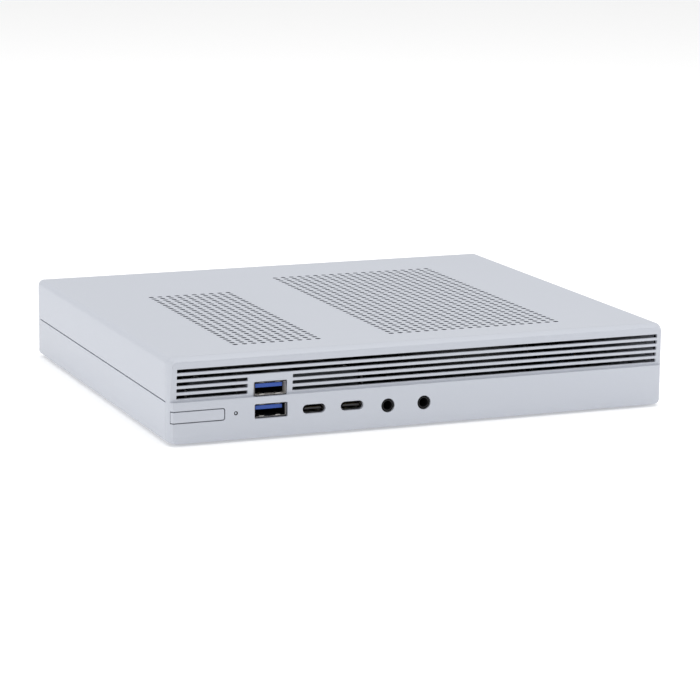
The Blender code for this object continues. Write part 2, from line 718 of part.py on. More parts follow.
def blower_housing():
    grey = material("blower_plastic", (0.04, 0.04, 0.045), 0.45)
    body = shape(add_prism, blower_outline(0.0, BLOWER_MOUTH_Y), "Z", BLOWER_LOW, BLOWER_HIGH)
    hollow = shape(add_prism, blower_outline(BLOWER_WALL, BLOWER_MOUTH_Y + 1.0), "Z",
                   BLOWER_LOW + BLOWER_WALL, BLOWER_HIGH - BLOWER_WALL)
    inlet = shape(add_rod, "Z", (COOLER_X, FAN_Y), INLET_RADIUS, BLOWER_HIGH - 2.0,
                  BLOWER_HIGH + 1.0, steps=40)
    post = shape(add_rod, "Z", (COOLER_X, FAN_Y), 8.8, BLOWER_LOW + 0.5, HUB_HIGH - 2.2)
    legs = bmesh.new()
    for x, y in ((-25.0, -58.0), (25.0, -58.0), (-32.0, -2.0), (32.0, -2.0)):
        add_rod(legs, "Z", (COOLER_X + x, y), 2.0, SEAT_Z, BLOWER_LOW + 0.5, steps=12)
    steps = [("DIFFERENCE", hollow), ("DIFFERENCE", inlet), ("UNION", post), ("UNION", legs)]
    add_object("blower_housing", body, grey, steps)


def fan_impeller():
    """Hub cup on a thin disc, with a ring of leaning blades."""
    dark = material("impeller_plastic", (0.03, 0.03, 0.035), 0.35)
    place = (COOLER_X, FAN_Y)
    profile = [(FAN_RADIUS, HUB_LOW), (FAN_RADIUS, HUB_LOW + 0.8), (HUB_RADIUS, HUB_LOW + 0.8),
               (HUB_RADIUS, HUB_HIGH - 0.8), (HUB_RADIUS - 0.8, HUB_HIGH)]
    hub = shape(add_turned, "Z", place, profile, steps=36)
    cup = shape(add_rod, "Z", place, 9.6, HUB_LOW - 1.0, HUB_HIGH - 1.4)
    blades = bmesh.new()
    root_radius, tip_radius, thickness = 18.5, 27.5, 0.9
    lean = math.radians(16)
    for number in range(FAN_BLADES):
        angle = 2 * math.pi * number / FAN_BLADES
        root = (root_radius * math.cos(angle), root_radius * math.sin(angle))
        tip = (tip_radius * math.cos(angle + lean), tip_radius * math.sin(angle + lean))
        length = math.hypot(tip[0] - root[0], tip[1] - root[1])
        across = (-(tip[1] - root[1]) / length * thickness / 2,
                  (tip[0] - root[0]) / length * thickness / 2)
        outline = [(COOLER_X + end[0] + sign * across[0], FAN_Y + end[1] + sign * across[1])
                   for end, sign in ((root, 1), (root, -1), (tip, -1), (tip, 1))]
        add_prism(blades, outline, "Z", HUB_LOW + 0.4, HUB_HIGH - 0.4)
    add_object("fan_impeller", hub, dark, [("DIFFERENCE", cup), ("UNION", blades)],
               origin=(COOLER_X, FAN_Y, HUB_LOW))


# ---- Memory, storage and small boards -----------------------------------------------------------
MEMORY_X = (-94.0, -24.4)
MEMORY_SOCKETS = {"upper": (35.0, 14.0), "lower": (41.2, 9.3)}   # rear face y, module z
MODULE_THICK = 1.2
MODULE_LENGTH = 30.0


def memory():
    green = material("module_laminate", (0.01, 0.12, 0.05), 0.4)
    left, right = MEMORY_X
    for name, (back_y, module_z) in MEMORY_SOCKETS.items():
        block = boxes(((left, right), (back_y, back_y + 5.6), (SEAT_Z, module_z + 2.0)))
        arms = boxes(*[(arm, (back_y + 5.0, back_y + 22.0), (module_z - 1.5, module_z + 2.0))
                       for arm in ((left, left + 1.6), (right - 1.6, right))])
        groove = boxes(((left + 0.9, right - 0.9), (back_y + 2.6, back_y + 7.0),
                        (module_z - FIT_GAP, module_z + MODULE_THICK + FIT_GAP)))
        add_object(f"memory_socket_{name}", block, black_plastic(),
                   [("UNION", arms), ("DIFFERENCE", groove)])
        module = boxes(((left + 2.0, right - 2.0), (back_y + 3.0, back_y + 3.0 + MODULE_LENGTH),
                        (module_z, module_z + MODULE_THICK)))
        add_object(f"memory_module_{name}", module, green)


CARD_X = (71.5, 93.5)
CARD_Z = 10.2
CARD_THICK = 0.8
CARDS = {"ssd": (-56.5, 80.0), "wifi": (31.5, 30.0)}             # socket rear y, card length


def cards():
    blue = material("card_laminate", (0.01, 0.04, 0.10), 0.4)
    left, right = CARD_X
    for name, (back_y, length) in CARDS.items():
        block = boxes(((left, right), (back_y - 3.0, back_y + 4.0), (SEAT_Z, CARD_Z + 1.8)))
        groove = boxes(((left + 0.6, right - 0.6), (back_y - 0.3, back_y + 5.0),
                        (CARD_Z - FIT_GAP, CARD_Z + CARD_THICK + FIT_GAP)))
        add_object(f"{name}_socket", block, black_plastic(), [("DIFFERENCE", groove)])
        end_y = back_y + length
        middle = (left + right) / 2
        card = boxes(((left + 1.0, right - 1.0), (back_y, end_y), (CARD_Z, CARD_Z + CARD_THICK)))
        notch = shape(add_rod, "Z", (middle, end_y), 1.9, CARD_Z - 1.0, CARD_Z + 2.0, steps=16)
        add_object(f"{name}_card", card, blue, [("DIFFERENCE", notch)])
        seat = CARD_Z + CARD_THICK + FIT_GAP
        screw = shape(add_screw, "Z", (middle, end_y), seat, 1, head=(2.6, 1.2),
                      shank=(1.4, seat - SEAT_Z))
        add_object(f"{name}_screw", screw, screw_steel(), smooth=True)


CELL_PLACE = (84.0, -73.0)


def coin_cell():
    holder = shape(add_turned, "Z", CELL_PLACE, [(11.6, SEAT_Z), (11.6, 11.0)], steps=28)
    well = shape(add_rod, "Z", CELL_PLACE, 10.4, 8.3, 12.0, steps=28)
    add_object("coin_cell_holder", holder, black_plastic(), [("DIFFERENCE", well)], smooth=True)
    profile = [(9.0, 8.6), (9.4, 9.0), (10.0, 9.1), (10.0, 11.4), (9.6, 11.8)]
    add_object("coin_cell", shape(add_turned, "Z", CELL_PLACE, profile, steps=28), steel(), smooth=True)


DRIVE_X = (-88.0, -18.0)
DRIVE_Y = (-66.5, 33.3)
DRIVE_Z = (12.4, 19.4)
TRAY_THICK = 1.0


def drive():
    """A 2.5 inch drive in a folded steel tray that stands on four posts."""
    left, right = DRIVE_X
    low = DRIVE_Z[0] - FIT_GAP - TRAY_THICK
    plate = boxes(((left - 1.4, right + 1.4), (DRIVE_Y[0], DRIVE_Y[1]), (low, low + TRAY_THICK)))
    sides = bmesh.new()
    for x in (left - 0.3 - TRAY_THICK, right + 0.3):
        add_box(sides, (x, x + TRAY_THICK), (DRIVE_Y[0] + 0.2, DRIVE_Y[1] - 0.2),
                (low + 0.5, DRIVE_Z[0] + 4.0))
    for x in (left + 4.0, right - 4.0):
        for y in (DRIVE_Y[0] + 4.0, DRIVE_Y[1] - 4.0):
            add_rod(sides, "Z", (x, y), 2.5, SEAT_Z, low + 0.5, steps=12)
    window = boxes(((left + 14.0, right - 14.0), (DRIVE_Y[0] + 18.0, DRIVE_Y[1] - 18.0),
                    (low - 1.0, low + TRAY_THICK + 1.0)))
    add_object("drive_tray", plate, steel(), [("UNION", sides), ("DIFFERENCE", window)])
    case = shape(add_prism, rounded_rectangle(left, right, DRIVE_Y[0] + 0.4, DRIVE_Y[1] - 0.4, 2.0, 2.0, 3),
                 "Z", *DRIVE_Z)
    add_object("storage_drive", case, material("drive_metal", (0.16, 0.17, 0.19), 0.4, 1.0))


# ---- Rear panel and its sockets -----------------------------------------------------------------
PANEL_LOW = FLOOR_TOP + FIT_GAP
PANEL_HIGH = 30.9


def panel_outline():
    """The panel is a little wider above the lip of the lower case."""
    low_half = INNER_X - FIT_GAP - LIP_THICK - FIT_GAP
    high_half = INNER_X - FIT_GAP
    step_z = LIP_TOP + FIT_GAP
    right = [(low_half, PANEL_LOW), (low_half, step_z), (high_half, step_z), (high_half, PANEL_HIGH)]
    return right + [(-x, z) for x, z in reversed(right)]


def rear_panel():
    plate = shape(add_prism, panel_outline(), "Y", PANEL_FRONT_Y, PANEL_REAR_Y)
    through = (PANEL_FRONT_Y - 1.0, PANEL_REAR_Y + 1.0)
    windows = bmesh.new()
    clear = 0.35
    half_stack = STACK_WIDTH / 2 + clear
    for x in REAR_USB_X:
        add_box(windows, (x - half_stack, x + half_stack), through, (SEAT_Z - clear, STACK_TOP + clear))
    half_lan = LAN_WIDTH / 2 + clear
    add_box(windows, (LAN_X - half_lan, LAN_X + half_lan), through, (SEAT_Z - clear, LAN_TOP + clear))
    for x in (DISPLAYPORT_X, HDMI_X):
        add_box(windows, (x - VIDEO_HALF - clear, x + VIDEO_HALF + clear), through,
                (VIDEO_LOW - clear, VIDEO_HIGH + clear))
    add_rod(windows, "Y", (POWER_X, POWER_Z), 4.4, *through)
    add_box(windows, (-86.5, -79.5), through, (10.5, 13.5))
    for side in (-1, 1):
        add_rod(windows, "Y", (side * THUMB_X, THUMB_Z), 1.9, *through, steps=16)
        add_rod(windows, "Y", (side * PANEL_SCREW_X, PANEL_SCREW_Z), 1.5, *through, steps=12)
    vents = bmesh.new()
    first_x, last_x, count = -30.0, 78.0, 31
    for number in range(count):
        x = first_x + (last_x - first_x) * number / (count - 1)
        add_box(vents, (x - 0.9, x + 0.9), through, (25.2, 29.6))
    add_object("rear_panel", plate, steel(), [("DIFFERENCE", windows), ("DIFFERENCE", vents)])


def rear_screws():
    for name, side in (("left", -1), ("right", 1)):
        place = (side * THUMB_X, THUMB_Z)
        seat = PANEL_REAR_Y + FIT_GAP
        profile = [(1.45, 79.0), (1.45, seat), (4.4, seat), (4.4, 87.3), (3.9, REAR_Y - 0.1),
                   (1.6, REAR_Y - 0.1), (1.4, 87.0)]
        body = shape(add_turned, "Y", place, profile, steps=28)
        add_object(f"thumbscrew_{name}", body, screw_steel(), smooth=True,
                   origin=(side * THUMB_X, seat, THUMB_Z))
        place = (side * PANEL_SCREW_X, PANEL_SCREW_Z)
        screw = shape(add_screw, "Y", place, seat, 1, head=(2.4, 1.5), shank=(1.05, 4.6))
        add_object(f"rear_panel_screw_{name}", screw, screw_steel(), smooth=True)


def rear_usb():
    for name, x in zip(("inner", "outer"), REAR_USB_X):
        shell, mouths, openings, tongues = stack_parts(x, PORT_MOUTH_Y, 1)
        mouths.free()
        rooted = [(xs, (PORT_MOUTH_Y - STACK_DEPTH - 0.5, ys[1]), zs) for xs, ys, zs in tongues]
        add_object(f"rear_usb_{name}", shell, steel(),
                   [("DIFFERENCE", openings), ("UNION", boxes(*rooted))])


LAN_WIDTH = 16.0
LAN_TOP = 21.1
VIDEO_HALF = 8.2
VIDEO_LOW = 8.4
VIDEO_HIGH = 13.8


def lan_socket():
    body = boxes(((LAN_X - LAN_WIDTH / 2, LAN_X + LAN_WIDTH / 2), (PORT_MOUTH_Y - 20.0, PORT_MOUTH_Y),
                  (SEAT_Z, LAN_TOP)))
    outline = [(-5.9, 10.0), (5.9, 10.0), (5.9, 16.6), (3.0, 16.6), (3.0, 18.2), (-3.0, 18.2),
               (-3.0, 16.6), (-5.9, 16.6)]
    cavity = shape(add_prism, [(LAN_X + x, z) for x, z in outline], "Y", PORT_MOUTH_Y - 13.0,
                   PORT_MOUTH_Y + 1.0)
    add_object("lan_socket", body, steel(), [("DIFFERENCE", cavity)])


def video_socket(name, x, outline):
    """A flat video socket. The outline is its mouth, measured from the socket's centre."""
    middle = (VIDEO_LOW + VIDEO_HIGH) / 2
    body = boxes(((x - VIDEO_HALF, x + VIDEO_HALF), (PORT_MOUTH_Y - 11.5, PORT_MOUTH_Y),
                  (VIDEO_LOW, VIDEO_HIGH)))
    mouth = shape(add_prism, [(x + u, middle + v) for u, v in outline], "Y", PORT_MOUTH_Y - 8.0,
                  PORT_MOUTH_Y + 1.0)
    tongue = boxes(((x - 5.8, x + 5.8), (PORT_MOUTH_Y - 8.5, PORT_MOUTH_Y - 1.2),
                    (middle - 0.2, middle + 0.7)))
    add_object(name, body, steel(), [("DIFFERENCE", mouth), ("UNION", tongue)])


def video_sockets():
    hdmi = [(-5.6, -2.1), (5.6, -2.1), (7.3, -0.6), (7.3, 2.1), (-7.3, 2.1), (-7.3, -0.6)]
    displayport = [(-7.6, -2.1), (5.6, -2.1), (7.6, -0.1), (7.6, 2.1), (-7.6, 2.1)]
    video_socket("hdmi_socket", HDMI_X, hdmi)
    video_socket("displayport_socket", DISPLAYPORT_X, displayport)


def power_socket():
    body = boxes(((POWER_X - 4.6, POWER_X + 4.6), (71.0, PANEL_FRONT_Y - FIT_GAP), (SEAT_Z, 17.8)))
    collar = shape(add_rod, "Y", (POWER_X, POWER_Z), 4.0, PANEL_FRONT_Y - 1.0, PORT_MOUTH_Y)
    bore = shape(add_rod, "Y", (POWER_X, POWER_Z), 3.0, 74.5, PORT_MOUTH_Y + 1.0)
    pin = shape(add_rod, "Y", (POWER_X, POWER_Z), 1.1, 74.0, PORT_MOUTH_Y - 1.0, steps=12)
    add_object("dc_power_socket", body, black_plastic(),
               [("UNION", collar), ("DIFFERENCE", bore), ("UNION", pin)])


# ---- Assembly -----------------------------------------------------------------------------------
for leftover in list(bpy.data.objects):
    bpy.data.objects.remove(leftover, do_unlink=True)

COVER_GUIDE = axis_empty("cover_slide_axis", (0.0, 0.0, ROOF_Z))
KEY_GUIDE = axis_empty("power_button_axis", (KEY_CENTRE_X, FRONT_Y, KEY_CENTRE_Z))

front_bezel()
top_cover()
bottom_chassis()
feet()
power_key()
power_switch()
status_light()
front_usb()
front_usb_c()
audio_jacks()
motherboard()
processor()
heatsink()
blower_housing()
fan_impeller()
memory()
cards()
coin_cell()
drive()
rear_panel()
rear_screws()
rear_usb()
lan_socket()
video_sockets()
power_socket()
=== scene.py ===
"""Looks of the slim mini PC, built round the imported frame.

The frame is in metres. The mesh helpers work in millimetres, and new_object() scales to metres.
"""
import math
import random

import bmesh
import bpy
from mathutils import Matrix, Vector


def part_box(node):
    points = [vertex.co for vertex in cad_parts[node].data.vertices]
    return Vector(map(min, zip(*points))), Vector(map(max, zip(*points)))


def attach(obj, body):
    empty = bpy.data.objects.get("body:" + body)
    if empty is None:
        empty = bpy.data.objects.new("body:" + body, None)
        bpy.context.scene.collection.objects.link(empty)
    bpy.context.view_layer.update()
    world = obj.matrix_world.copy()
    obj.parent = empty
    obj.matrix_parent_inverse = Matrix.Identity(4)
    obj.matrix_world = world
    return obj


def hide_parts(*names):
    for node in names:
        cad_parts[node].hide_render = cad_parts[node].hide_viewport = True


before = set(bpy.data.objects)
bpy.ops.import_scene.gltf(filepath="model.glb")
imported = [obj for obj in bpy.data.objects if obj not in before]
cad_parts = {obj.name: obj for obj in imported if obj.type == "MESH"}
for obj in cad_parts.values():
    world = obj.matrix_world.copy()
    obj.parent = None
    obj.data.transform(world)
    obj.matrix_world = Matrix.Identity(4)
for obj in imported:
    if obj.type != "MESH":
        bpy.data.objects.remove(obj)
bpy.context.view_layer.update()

MM = 0.001


class Limits:
    """A node's box at rest, in millimetres."""

    def __init__(self, node):
        low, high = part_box(node)
        self.x0, self.y0, self.z0 = low / MM
        self.x1, self.y1, self.z1 = high / MM
        self.x, self.y, self.z = (low + high) / 2 / MM


BEZEL = Limits("front_bezel")
COVER = Limits("top_cover")
CASE = Limits("bottom_chassis")
KEY = Limits("power_button")
PANEL = Limits("rear_panel")
BOARD = Limits("motherboard")

WALL = 1.6
FLOOR = 1.4
TOP_RADIUS = 2.5
BOTTOM_RADIUS = 1.5
FACE_RADIUS = 2.0
FACE_EDGE = 0.4
REAR_RIM = 0.8
TAPER_START = 0.3
TAPER_SIDE = 1.3
TAPER_TOP = 1.0


# ---- Mesh helpers -------------------------------------------------------------------------------
PLACE = {
    "X": lambda u, v, t: (t, u, v),
    "Y": lambda u, v, t: (u, t, v),
    "Z": lambda u, v, t: (u, v, t),
}


def span(middle, half):
    return middle - half, middle + half


def spaced(start, pitch, count):
    return [start + pitch * number for number in range(count)]


def spaced_about(middle, pitch, count):
    return [middle + (number - (count - 1) / 2) * pitch for number in range(count)]


def arc(centre_u, centre_v, radius, start, end, steps):
    angles = [math.radians(start + (end - start) * i / steps) for i in range(steps + 1)]
    return [(centre_u + radius * math.cos(a), centre_v + radius * math.sin(a)) for a in angles]


def circle(u, v, radius, steps=32):
    return arc(u, v, radius, 0, 360, steps)[:-1]


def rectangle(u0, u1, v0, v1):
    return [(u0, v0), (u1, v0), (u1, v1), (u0, v1)]


def rounded(u0, u1, v0, v1, low, high=None, steps=6):
    """Rectangle with radius low at its two lower corners and high at its two upper ones."""
    high = low if high is None else high
    return (
        arc(u0 + low, v0 + low, low, 180, 270, steps)
        + arc(u1 - low, v0 + low, low, 270, 360, steps)
        + arc(u1 - high, v1 - high, high, 0, 90, steps)
        + arc(u0 + high, v1 - high, high, 90, 180, steps)
    )


def centred(u, v, width, height, radius, steps=6):
    return rounded(u - width / 2, u + width / 2, v - height / 2, v + height / 2, radius, steps=steps)


def add_loft(bm, sections, skip=(), caps=True):
    """Skin through sections of equal count. skip lists (section, edge) quads to leave open."""
    rings = [[bm.verts.new(point) for point in section] for section in sections]
    count = len(rings[0])
    for level, (ring, following) in enumerate(zip(rings, rings[1:])):
        for i in range(count):
            if (level, i) not in skip:
                j = (i + 1) % count
                bm.faces.new((ring[i], ring[j], following[j], following[i]))
    if caps:
        bm.faces.new(rings[0])
        bm.faces.new(rings[-1])


def add_prism(bm, outline, axis, low, high):
    put = PLACE[axis]
    add_loft(bm, [[put(u, v, t) for u, v in outline] for t in (low, high)])


def add_box(bm, x_range, y_range, z_range):
    add_prism(bm, rectangle(*x_range, *y_range), "Z", *z_range)


def add_rod(bm, axis, centre, radius, low, high, steps=32):
    add_prism(bm, circle(*centre, radius, steps), axis, low, high)


def add_turned(bm, axis, centre, profile, steps=40, base=0.0):
    """Closed form of revolution. profile lists (radius, distance from base along the axis)."""
    put = PLACE[axis]
    add_loft(bm, [[put(u, v, base + t) for u, v in circle(*centre, r, steps)] for r, t in profile])


def add_tube(bm, axis, outer, inner, low, high):
    """Wall between two outlines of equal count."""
    put = PLACE[axis]
    rings = [[put(u, v, t) for u, v in line] for line, t in
             ((outer, low), (outer, high), (inner, high), (inner, low), (outer, low))]
    add_loft(bm, rings, caps=False)
    bmesh.ops.remove_doubles(bm, verts=bm.verts, dist=1e-4)


def shape(adder, *arguments, **options):
    bm = bmesh.new()
    adder(bm, *arguments, **options)
    return bm


def rounding(y, reach, steps, first=0):
    """The (y, draw-in) pairs of a rounded rim. It starts at y and ends reach further on."""
    turns = [math.radians(90 * step / steps) for step in range(first, steps + 1)]
    return [(y + reach * math.sin(a), abs(reach) * (1 - math.cos(a))) for a in turns]


def boxes(*ranges):
    bm = bmesh.new()
    for x_range, y_range, z_range in ranges:
        add_box(bm, x_range, y_range, z_range)
    return bm


# ---- Pieces -------------------------------------------------------------------------------------
FINISHES = {name: name for name in (
    "case_plastic", "sheet_steel", "socket_shell", "screw_steel", "foot_rubber", "black_plastic",
    "usb_blue", "light_pipe", "nickel_plate", "drive_metal")}
FINISHES |= {"socket_black_and_painted_shade": "black_plastic", "fan_plastic": "black_plastic", "tinned_ends": "nickel_plate",
             "mouth_steel_painted_light": "socket_shell"}


def new_object(name, bm):
    bmesh.ops.recalc_face_normals(bm, faces=bm.faces)
    bmesh.ops.scale(bm, vec=(MM, MM, MM), verts=bm.verts)
    mesh = bpy.data.meshes.new(name)
    bm.to_mesh(mesh)
    bm.free()
    made = bpy.data.objects.new(name, mesh)
    bpy.context.scene.collection.objects.link(made)
    return made


def add_booleans(obj, steps):
    """Adds (operation, bmesh) Booleans in their working order, and returns their tools."""
    tools = []
    for number, (operation, tool) in enumerate(steps):
        tools.append(new_object(f"tool_{number}", tool))
        modifier = obj.modifiers.new(f"step_{number}", "BOOLEAN")
        modifier.operation = operation
        modifier.solver = "EXACT"
        modifier.object = tools[-1]
    return tools


def bake(obj, tools):
    """Applies the modifiers, so the piece is plain mesh, and removes their tools."""
    bpy.context.view_layer.update()
    graph = bpy.context.evaluated_depsgraph_get()
    finished = bpy.data.meshes.new_from_object(obj.evaluated_get(graph), depsgraph=graph)
    obj.modifiers.clear()
    old = obj.data
    obj.data = finished
    bpy.data.meshes.remove(old)
    for tool in tools:
        bpy.data.objects.remove(tool)


def add_bevel(obj, width, angle=35):
    bevel = obj.modifiers.new("edges", "BEVEL")
    bevel.width = width * MM
    bevel.segments = 2
    bevel.limit_method = "ANGLE"
    bevel.angle_limit = math.radians(angle)
    bevel.harden_normals = True
    bevel.use_clamp_overlap = False
    bevel.miter_outer = "MITER_ARC"


def place(name, bm, material, stands_for=(), steps=(), body="chassis", bevel=0.0, angle=35):
    """Makes a finished piece. steps lists (operation, bmesh) Booleans in their working order."""
    obj = new_object(name, bm)
    tools = add_booleans(obj, steps)
    obj.data.shade_smooth()
    if bevel:
        add_bevel(obj, bevel, angle)
    bake(obj, tools)
    if not bevel:
        obj.data.shade_smooth()
        obj.data.set_sharp_from_angle(angle=math.radians(angle))
    obj.data.materials.clear()
    obj.data.materials.append(material)
    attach(obj, body)
    if stands_for:
        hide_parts(*([stands_for] if isinstance(stands_for, str) else stands_for))
    return obj


def paint_faces(obj, material, test):
    """Gives the faces whose centre and normal pass the test a second material."""
    obj.data.materials.append(material)
    index = len(obj.data.materials) - 1
    for face in obj.data.polygons:
        if test(face.center / MM, face.normal):
            face.material_index = index


def dress(node, material, bevel):
    """Keeps a CAD node as it is, with small rounded edges and a finish of its own."""
    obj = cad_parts[node]
    weld = obj.modifiers.new("join", "WELD")
    weld.merge_threshold = 0.000001
    flat = obj.modifiers.new("flats", "DECIMATE")
    flat.decimate_type = "DISSOLVE"
    flat.angle_limit = math.radians(1)
    if bevel:
        add_bevel(obj, bevel)
        obj.modifiers["edges"].use_clamp_overlap = True
    obj.data.materials.clear()
    obj.data.materials.append(material)


# ---- Materials ----------------------------------------------------------------------------------
def feed(tree, socket, value):
    """Sets an input, or links it where the value is another node's output."""
    if isinstance(value, bpy.types.NodeSocket):
        tree.links.new(value, socket)
    else:
        socket.default_value = value


def add_node(tree, kind, values, **settings):
    """Adds a shader node. values gives each input a number, a colour or another node's output."""
    made = tree.nodes.new(f"ShaderNode{kind}")
    for key, value in settings.items():
        setattr(made, key, value)
    for key, value in values.items():
        feed(tree, made.inputs[key], value)
    return made


def add_bump(tree, height, strength, distance):
    bump = add_node(tree, "Bump", {"Strength": strength, "Distance": distance, "Height": height})
    feed(tree, tree.nodes["Principled BSDF"].inputs["Normal"], bump.outputs["Normal"])


def surface(name, colour, roughness, metallic=0.0, grain=0.0, grain_size=0.3, tint=0.03, **more):
    """Principled surface with fine grain and slow drift in colour and roughness, by noise nodes.

    grain is the bump height and grain_size its feature size, both in millimetres.
    """
    made = bpy.data.materials.new(name)
    made.use_nodes = True
    tree = made.node_tree
    where = add_node(tree, "TexCoord", {}).outputs["Object"]

    def noise(scale, detail):
        return add_node(tree, "TexNoise", {"Scale": scale, "Detail": detail, "Vector": where}).outputs["Fac"]

    slow = noise(18.0, 3.0)
    fine = noise(1.0 / (grain_size * MM), 4.0)
    darker = (*[c * (1 - tint) for c in colour], 1)
    lighter = (*[min(1, c * (1 + tint)) for c in colour], 1)
    mix = add_node(tree, "Mix", {"A": darker, "B": lighter, "Factor": slow}, data_type="RGBA")
    rough = add_node(tree, "MapRange", {"To Min": roughness * 0.85, "To Max": roughness * 1.15,
                                        "Value": fine})
    values = {"Metallic": metallic, "Base Color": mix.outputs["Result"], "Roughness": rough.outputs["Result"]}
    values |= {key.replace("_", " "): value for key, value in more.items()}
    for key, value in values.items():
        feed(tree, tree.nodes["Principled BSDF"].inputs[key], value)
    if grain:
        add_bump(tree, fine, 1.0, grain * MM)
    return made


def brushed(name, colour, roughness, along="X"):
    """Metal with fine parallel brush lines."""
    made = surface(name, colour, roughness, metallic=1.0)
    tree = made.node_tree
    where = tree.nodes["Texture Coordinate"].outputs["Object"]
    scale = [40 if axis == along else 4000 for axis in "XYZ"]
    stretch = add_node(tree, "Mapping", {"Scale": scale, "Vector": where})
    lines = add_node(tree, "TexNoise", {"Scale": 1.0, "Vector": stretch.outputs["Vector"]})
    add_bump(tree, lines.outputs["Fac"], 0.6, 0.004 * MM)
    return made


def laminate(name, colour, copper):
    """Solder-masked board: a faint grid of tracks under the mask, and scattered vias."""
    made = surface(name, colour, 0.38, grain=0.003, tint=0.1)
    tree = made.node_tree
    where = tree.nodes["Texture Coordinate"].outputs["Object"]
    base = tree.nodes["Principled BSDF"].inputs["Base Color"]
    mask = base.links[0].from_socket
    black, white = (0, 0, 0, 1), (1, 1, 1, 1)
    tracks = add_node(tree, "TexBrick", {"Scale": 190.0, "Mortar Size": 0.06, "Color1": black,
                                         "Color2": black, "Mortar": white, "Vector": where})
    vias = add_node(tree, "TexVoronoi", {"Scale": 260.0, "Vector": where})
    dots = add_node(tree, "Math", {0: vias.outputs["Distance"], 1: 0.09}, operation="LESS_THAN")
    half = add_node(tree, "Math", {0: tracks.outputs["Color"], 1: 0.45}, operation="MULTIPLY")
    lit = add_node(tree, "Math", {0: half.outputs[0], 1: dots.outputs[0]}, operation="MAXIMUM")
    mix = add_node(tree, "Mix", {"A": mask, "B": (*copper, 1), "Factor": lit.outputs[0]}, data_type="RGBA")
    feed(tree, base, mix.outputs["Result"])
    return made


CASE_COLOUR = (0.508, 0.532, 0.588)
CASE_PLASTIC = surface("case_plastic", CASE_COLOUR, 0.42, grain=0.005, grain_size=0.25, tint=0.012)
# Darker grey for the walls of the roof vent holes: painted shade inside the holes.
HOLE_SHADE = surface("vent_wall_painted_shade", (0.09, 0.10, 0.13), 0.6, grain=0.004)
# Near-black navy for the bezel's own inner faces: painted shade standing in for the dark cavity behind the
# grille slots and windows.
INNER_PAINTED_SHADE = surface("bezel_inside_painted_shade", (0.004, 0.007, 0.014), 0.8, grain=0.004)
STEEL = brushed("sheet_steel", (0.52, 0.52, 0.53), 0.42)
SHELL = surface("socket_shell", (0.60, 0.58, 0.56), 0.3, metallic=1.0, grain=0.001)
# Lighter, part-metal copy of the socket shell steel for the front USB mouths: painted light on the mouth
# walls.
MOUTH_STEEL_PAINTED_LIGHT = surface("mouth_steel_painted_light", (0.66, 0.64, 0.62), 0.5, metallic=0.35)
# Near-black for the socket shells' front rims: painted shade in place of the bare steel.
RIM_PAINTED_SHADE = surface("shell_rim_painted_shade", (0.012, 0.012, 0.016), 0.6, Specular_IOR_Level=0.2)
SCREW = surface("screw_steel", (0.42, 0.42, 0.43), 0.28, metallic=1.0, grain=0.002)
BLACK = surface("black_plastic", (0.010, 0.010, 0.012), 0.38, grain=0.004)
# Matte near-black: the real black plastic of jack bodies and socket backs, and painted shade inside the
# socket mouths.
MATT_BLACK = surface("socket_black_and_painted_shade", (0.003, 0.003, 0.004), 0.7, grain=0.003, Specular_IOR_Level=0.2)
BLUE = surface("usb_blue", (0.014, 0.072, 0.38), 0.34, grain=0.002)
GOLD = surface("contact_gold", (0.83, 0.60, 0.26), 0.22, metallic=1.0)
LENS = surface("light_pipe", (0.62, 0.67, 0.75), 0.25)
RUBBER = surface("foot_rubber", (0.02, 0.02, 0.021), 0.85, grain=0.012)
STICKER = surface("label_film", (0.62, 0.63, 0.64), 0.35, metallic=0.2)
RED = surface("plunger_plastic", (0.55, 0.05, 0.04), 0.4)
WHITE = surface("header_plastic", (0.70, 0.68, 0.62), 0.5)
GREEN_LENS = surface("green_lens", (0.10, 0.45, 0.10), 0.2)
AMBER_LENS = surface("amber_lens", (0.75, 0.38, 0.04), 0.2)
BOARD_GREEN = laminate("board_laminate", (0.008, 0.075, 0.045), (0.03, 0.17, 0.09))
MODULE_GREEN = laminate("module_laminate", (0.008, 0.09, 0.04), (0.03, 0.19, 0.08))
CARD_BLUE = laminate("card_laminate", (0.006, 0.03, 0.085), (0.02, 0.08, 0.2))
CHIP = surface("chip_epoxy", (0.013, 0.013, 0.014), 0.5, grain=0.006)
CERAMIC = surface("capacitor_ceramic", (0.33, 0.24, 0.15), 0.5)
FERRITE = surface("choke_ferrite", (0.10, 0.10, 0.11), 0.6, grain=0.01)
TIN = surface("tinned_ends", (0.72, 0.72, 0.73), 0.3, metallic=1.0)
ALUMINIUM = brushed("heatsink_aluminium", (0.70, 0.71, 0.73), 0.36, along="Y")
COPPER = brushed("heat_pipe_copper", (0.72, 0.38, 0.26), 0.3, along="Y")
NICKEL = surface("nickel_plate", (0.66, 0.65, 0.62), 0.24, metallic=1.0)
DRIVE_METAL = brushed("drive_metal", (0.17, 0.18, 0.20), 0.42)
FAN_PLASTIC = surface("fan_plastic", (0.016, 0.016, 0.018), 0.36, grain=0.003)
CABLE_BLACK = surface("cable_sheath", (0.015, 0.015, 0.016), 0.5, grain=0.01)
CABLE_RED = surface("red_wire", (0.45, 0.02, 0.015), 0.45)


